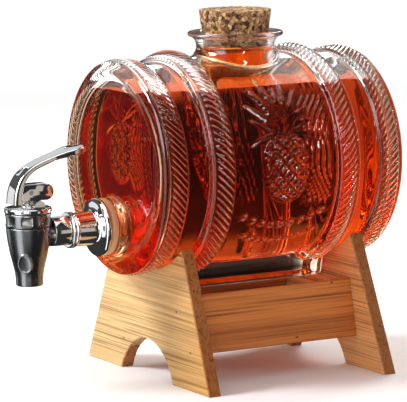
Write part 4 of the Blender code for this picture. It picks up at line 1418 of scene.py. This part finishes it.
# ------------------------------------------------------------------ floor
def floor_material():
    mat = MaterialNodes("pale_floor")
    path = mat.add("ShaderNodeLightPath").outputs
    tone = mat.noise(mat.mapped(), scale=6.0)
    mat.set(
        Base_Color=mat.ramp(tone, [(0.2, (0.86, 0.86, 0.86)), (0.8, (0.90, 0.90, 0.90))]),
        Roughness=0.9,
        Specular_IOR_Level=0.1,
    )
    # glass and metal see the world's lower half in place of the floor
    clear = mat.add("ShaderNodeBsdfTransparent").outputs[0]
    bent = mat.math("MAXIMUM", path["Is Glossy Ray"], path["Is Transmission Ray"])
    near = mat.mix_shader(bent, mat.shader.outputs[0], clear)
    # far away the floor fades into an even white, for the camera only
    away = mat.add("ShaderNodeVectorMath", operation="LENGTH")
    mat.link(mat.where, away.inputs[0])
    fade = mat.rise(away.outputs["Value"], start=0.55, end=1.5)
    pale = mat.add("ShaderNodeEmission", Strength=1.0).outputs[0]
    far = mat.mix_shader(path["Is Camera Ray"], clear, pale)
    mat.link(mat.mix_shader(fade, near, far), mat.output.inputs["Surface"])
    return mat.material


def build_floor():
    floor = empty_object("floor")
    half = 12.0
    corners = [(-half, -half, 0), (half, -half, 0), (half, half, 0), (-half, half, 0)]
    floor.data.from_pydata(corners, [], [(0, 1, 2, 3)])
    dress(floor, floor_material())


build_floor()


# ------------------------------------------------------------------ light
def build_world():
    """A studio that differs for camera, reflected, refracted and diffuse rays."""
    world = bpy.data.worlds.new("studio")
    scene.world = world
    world.use_nodes = True
    world.node_tree.nodes.clear()
    net = Nodes(world.node_tree, "Generated")

    def dot(direction):
        made = net.add("ShaderNodeVectorMath", operation="DOT_PRODUCT")
        net.link(net.where, made.inputs[0])
        made.inputs[1].default_value = direction
        return made.outputs["Value"]

    def curve(value, low, high, points):
        """A smooth curve through (value, strength) points, with value from low to high."""
        top = max(strength for _, strength in points)
        stops = [((place - low) / (high - low), strength / top) for place, strength in points]
        return net.times(net.ramp(net.rise(value, low, high), stops, "EASE"), top)

    # bearing from a direction 10 degrees off -X, growing towards -Y, and height above
    # the horizon, both in degrees
    degrees = 57.2958
    across, ahead = dot((0.1736, -0.9848, 0.0)), dot((-0.9848, -0.1736, 0.0))
    bearing = net.times(net.math("ARCTAN2", across, ahead), degrees)
    height = net.times(net.math("ARCSINE", dot((0.0, 0.0, 1.0))), degrees)

    def around(points):
        return curve(bearing, -180, 180, points)

    def upward(points):
        return curve(height, -90, 90, points)

    # seen through the glass: rings below and above the horizon, a window and a table
    low_ring = around([
        (-180, 0.25), (-100, 1.1), (-74, 1.1), (-58, 0.04), (-28, 0.03), (-11, 0.12), (-1, 0.7),
        (10, 1.1), (45, 1.1), (75, 0.6), (115, 0.2),
    ])
    high_ring = around([
        (-180, 0.3), (-75, 1.2), (-55, 0.08), (-32, 0.05), (-22, 0.6), (-8, 1.6), (50, 1.9),
        (90, 0.5), (130, 0.3),
    ])
    window = net.times(
        around([(-75, 0.0), (-60, 0.7), (-30, 0.7), (-18, 2.2), (15, 2.2), (32, 0.0)]),
        upward([(15, 0.0), (27, 1.0)]),
    )
    high_ring = net.plus(high_ring, window)
    table_edge, table_full = (math.cos(math.radians(angle)) for angle in (24, 12))
    table_strength = 1.6
    table = curve(dot((-0.591, 0.314, -0.743)), -1, 1, [(table_edge, 0.0), (table_full, 1.0)])
    table = net.times(table, table_strength)
    deep = upward([(-90, 0.3), (-46, 0.35), (-30, 1.0)])
    above = upward([(-4, 0.0), (5, 1.0)])
    crown = upward([(32, 0.0), (52, 1.6)])
    below = net.times(low_ring, net.times(deep, net.math("SUBTRACT", 1.0, above)))
    through = net.plus(below, net.plus(net.times(high_ring, above), net.plus(crown, table)))
    # reflections: bright towards -Y and overhead, dark elsewhere
    side = around([
        (-180, 0.03), (-75, 0.03), (-40, 0.06), (10, 0.10), (40, 0.08), (72, 0.10), (84, 9.0),
        (104, 9.0), (114, 0.2), (140, 0.04),
    ])
    belt = upward([(-20, 0.25), (6, 0.3), (14, 1.0), (40, 1.0), (50, 0.1)])
    top = upward([(66, 0.0), (76, 1.7)])
    least = 0.03
    mirror = net.plus(net.times(side, belt), net.plus(top, least))
    soft = upward([(-10, 0.35), (30, 0.7), (80, 1.0)])
    path = net.add("ShaderNodeLightPath").outputs
    backdrop = 1.25
    total = net.choose(path["Is Glossy Ray"], soft, mirror)
    total = net.choose(path["Is Transmission Ray"], total, through)
    total = net.choose(path["Is Camera Ray"], total, backdrop)
    shader = net.add("ShaderNodeBackground")
    net.link(total, shader.inputs["Strength"])
    net.link(shader.outputs[0], net.add("ShaderNodeOutputWorld").inputs["Surface"])


def area(name, place, aim, size, power, colour=(1, 1, 1), size_y=None, only=None):
    """A rectangular light aimed at a point; it may light only one collection."""
    data = bpy.data.lights.new(name, "AREA")
    data.energy, data.color = power, colour
    data.shape = "RECTANGLE"
    data.size, data.size_y = size, size_y or size
    made = bpy.data.objects.new(name, data)
    made.location = place
    made.rotation_mode = "QUATERNION"
    made.rotation_quaternion = (Vector(place) - Vector(aim)).to_track_quat("Z", "Y")
    scene.collection.objects.link(made)
    if only:
        made.light_linking.receiver_collection = only
    return made


def collected(name, objects):
    made = bpy.data.collections.new(name)
    for item in objects:
        made.objects.link(item)
    return made


TAP_AIM = (0, -0.075, 0.09)
TAP_METAL = (
    "tap_body_shell", "tap_shank_shell", "collar_ring", "cap_ring", "lever_strap",
    "lever_pin", "valve_stem",
)
# soft boxes for the tap: name, place, size, size_y, radiance, colour
TAP_LIGHTS = (
    ("tap_top", (0.30, -0.15, 0.85), 0.80, 0.80, 1.0, (1, 1, 1)),
    ("tap_back", (-0.95, 0.22, 0.56), 0.55, 0.55, 0.62, (1, 1, 1)),
    ("tap_front", (-0.25, -0.80, 0.35), 0.42, 0.50, 0.85, (1, 1, 1)),
    ("tap_room", (0.80, -0.62, 0.05), 0.75, 0.90, 0.30, (1, 1, 1)),
    ("tap_warm", (0.66, 0.26, 0.06), 0.16, 0.30, 0.50, (1.0, 0.90, 0.76)),
    ("tap_face", (-0.80, -0.52, 0.03), 0.34, 0.46, 0.85, (1, 1, 1)),
)


def build_lights():
    objects = bpy.data.objects
    # these light only the metal of the tap
    metal = collected("tap_metal", [objects[name] for name in TAP_METAL])
    for name, place, size, size_y, radiance, colour in TAP_LIGHTS:
        power = radiance * math.pi * size * size_y
        area(name, place, TAP_AIM, size, power, colour, size_y, only=metal)

    area("key", (-0.35, -0.95, 0.95), aim=(0, 0, 0.08), size=0.45, power=17.0)
    glassy = ("barrel_glass", "drink")
    opaque = collected(
        "opaque", [item for item in scene.objects if item.type == "MESH" and item.name not in glassy]
    )
    area(
        "rim", (-0.75, 0.85, 0.75), aim=(0, 0.03, 0.1), size=0.5, power=9.0,
        colour=(1.0, 0.97, 0.93), only=opaque,
    )
    area(
        "fill", (1.0, -0.75, 0.20), aim=(0, 0.03, 0.04), size=0.5, power=2.2,
        colour=(1.0, 0.86, 0.68), only=opaque,
    )
    clear = collected("clear", [objects[name] for name in glassy])
    # a soft box opposite the camera: sparkle in the ribs and along the bottom
    spark = area(
        "spark", (-0.95, 0.75, 0.62), aim=(0, 0.03, 0.1), size=0.40, power=3.5,
        colour=(1.0, 0.98, 0.92), only=clear,
    )
    # a tall narrow box on the +X side draws the edges of the moulded relief
    edges = area(
        "relief", (1.125, -0.04, 0.75), aim=(0, 0.0, 0.1), size=0.10, power=5.0,
        colour=(1.0, 0.97, 0.95), size_y=0.8, only=clear,
    )
    for light in (spark, edges):
        light.visible_transmission = False
    for item in scene.objects:
        if item.type == "LIGHT":
            item.visible_camera = False


build_world()
build_lights()


# ------------------------------------------------------------------ camera
CAMERA_PLACE = (1.34774, -0.77978 + PLACE_Y * MM, 0.31288)
# radians: azimuth from -Y towards +X, elevation, and roll about the view
AZIMUTH, ELEVATION, ROLL = 1.061562, 0.140427, -0.014308
SENSOR_WIDTH, FOCAL_LENGTH = 36.0, 259.58424
SHIFT_X, SHIFT_Y = 0.02647297, -0.01550737  # shares of the frame's width


def build_camera():
    data = bpy.data.cameras.new("camera")
    made = bpy.data.objects.new("camera", data)
    scene.collection.objects.link(made)
    scene.camera = made
    level = math.cos(ELEVATION)
    back = Vector(
        (math.sin(AZIMUTH) * level, -math.cos(AZIMUTH) * level, math.sin(ELEVATION))
    )
    flat_right = Vector((math.cos(AZIMUTH), math.sin(AZIMUTH), 0.0))
    flat_up = back.cross(flat_right)
    right = flat_right * math.cos(ROLL) + flat_up * math.sin(ROLL)
    up = flat_up * math.cos(ROLL) - flat_right * math.sin(ROLL)
    rows = [tuple(row) for row in zip(right, up, back, Vector(CAMERA_PLACE))]
    made.matrix_world = Matrix((*rows, (0, 0, 0, 1)))
    data.sensor_width = SENSOR_WIDTH
    data.lens = FOCAL_LENGTH
    data.shift_x, data.shift_y = SHIFT_X, SHIFT_Y
    data.clip_start, data.clip_end = 0.01, 50.0


build_camera()

scene.view_settings.view_transform = "Standard"
scene.cycles.max_bounces = 22
scene.cycles.transmission_bounces = 20
scene.cycles.glossy_bounces = 8
scene.cycles.diffuse_bounces = 4
scene.cycles.transparent_max_bounces = 12
scene.cycles.sample_clamp_indirect = 8.0
scene.cycles.caustics_refractive = True
scene.cycles.caustics_reflective = True
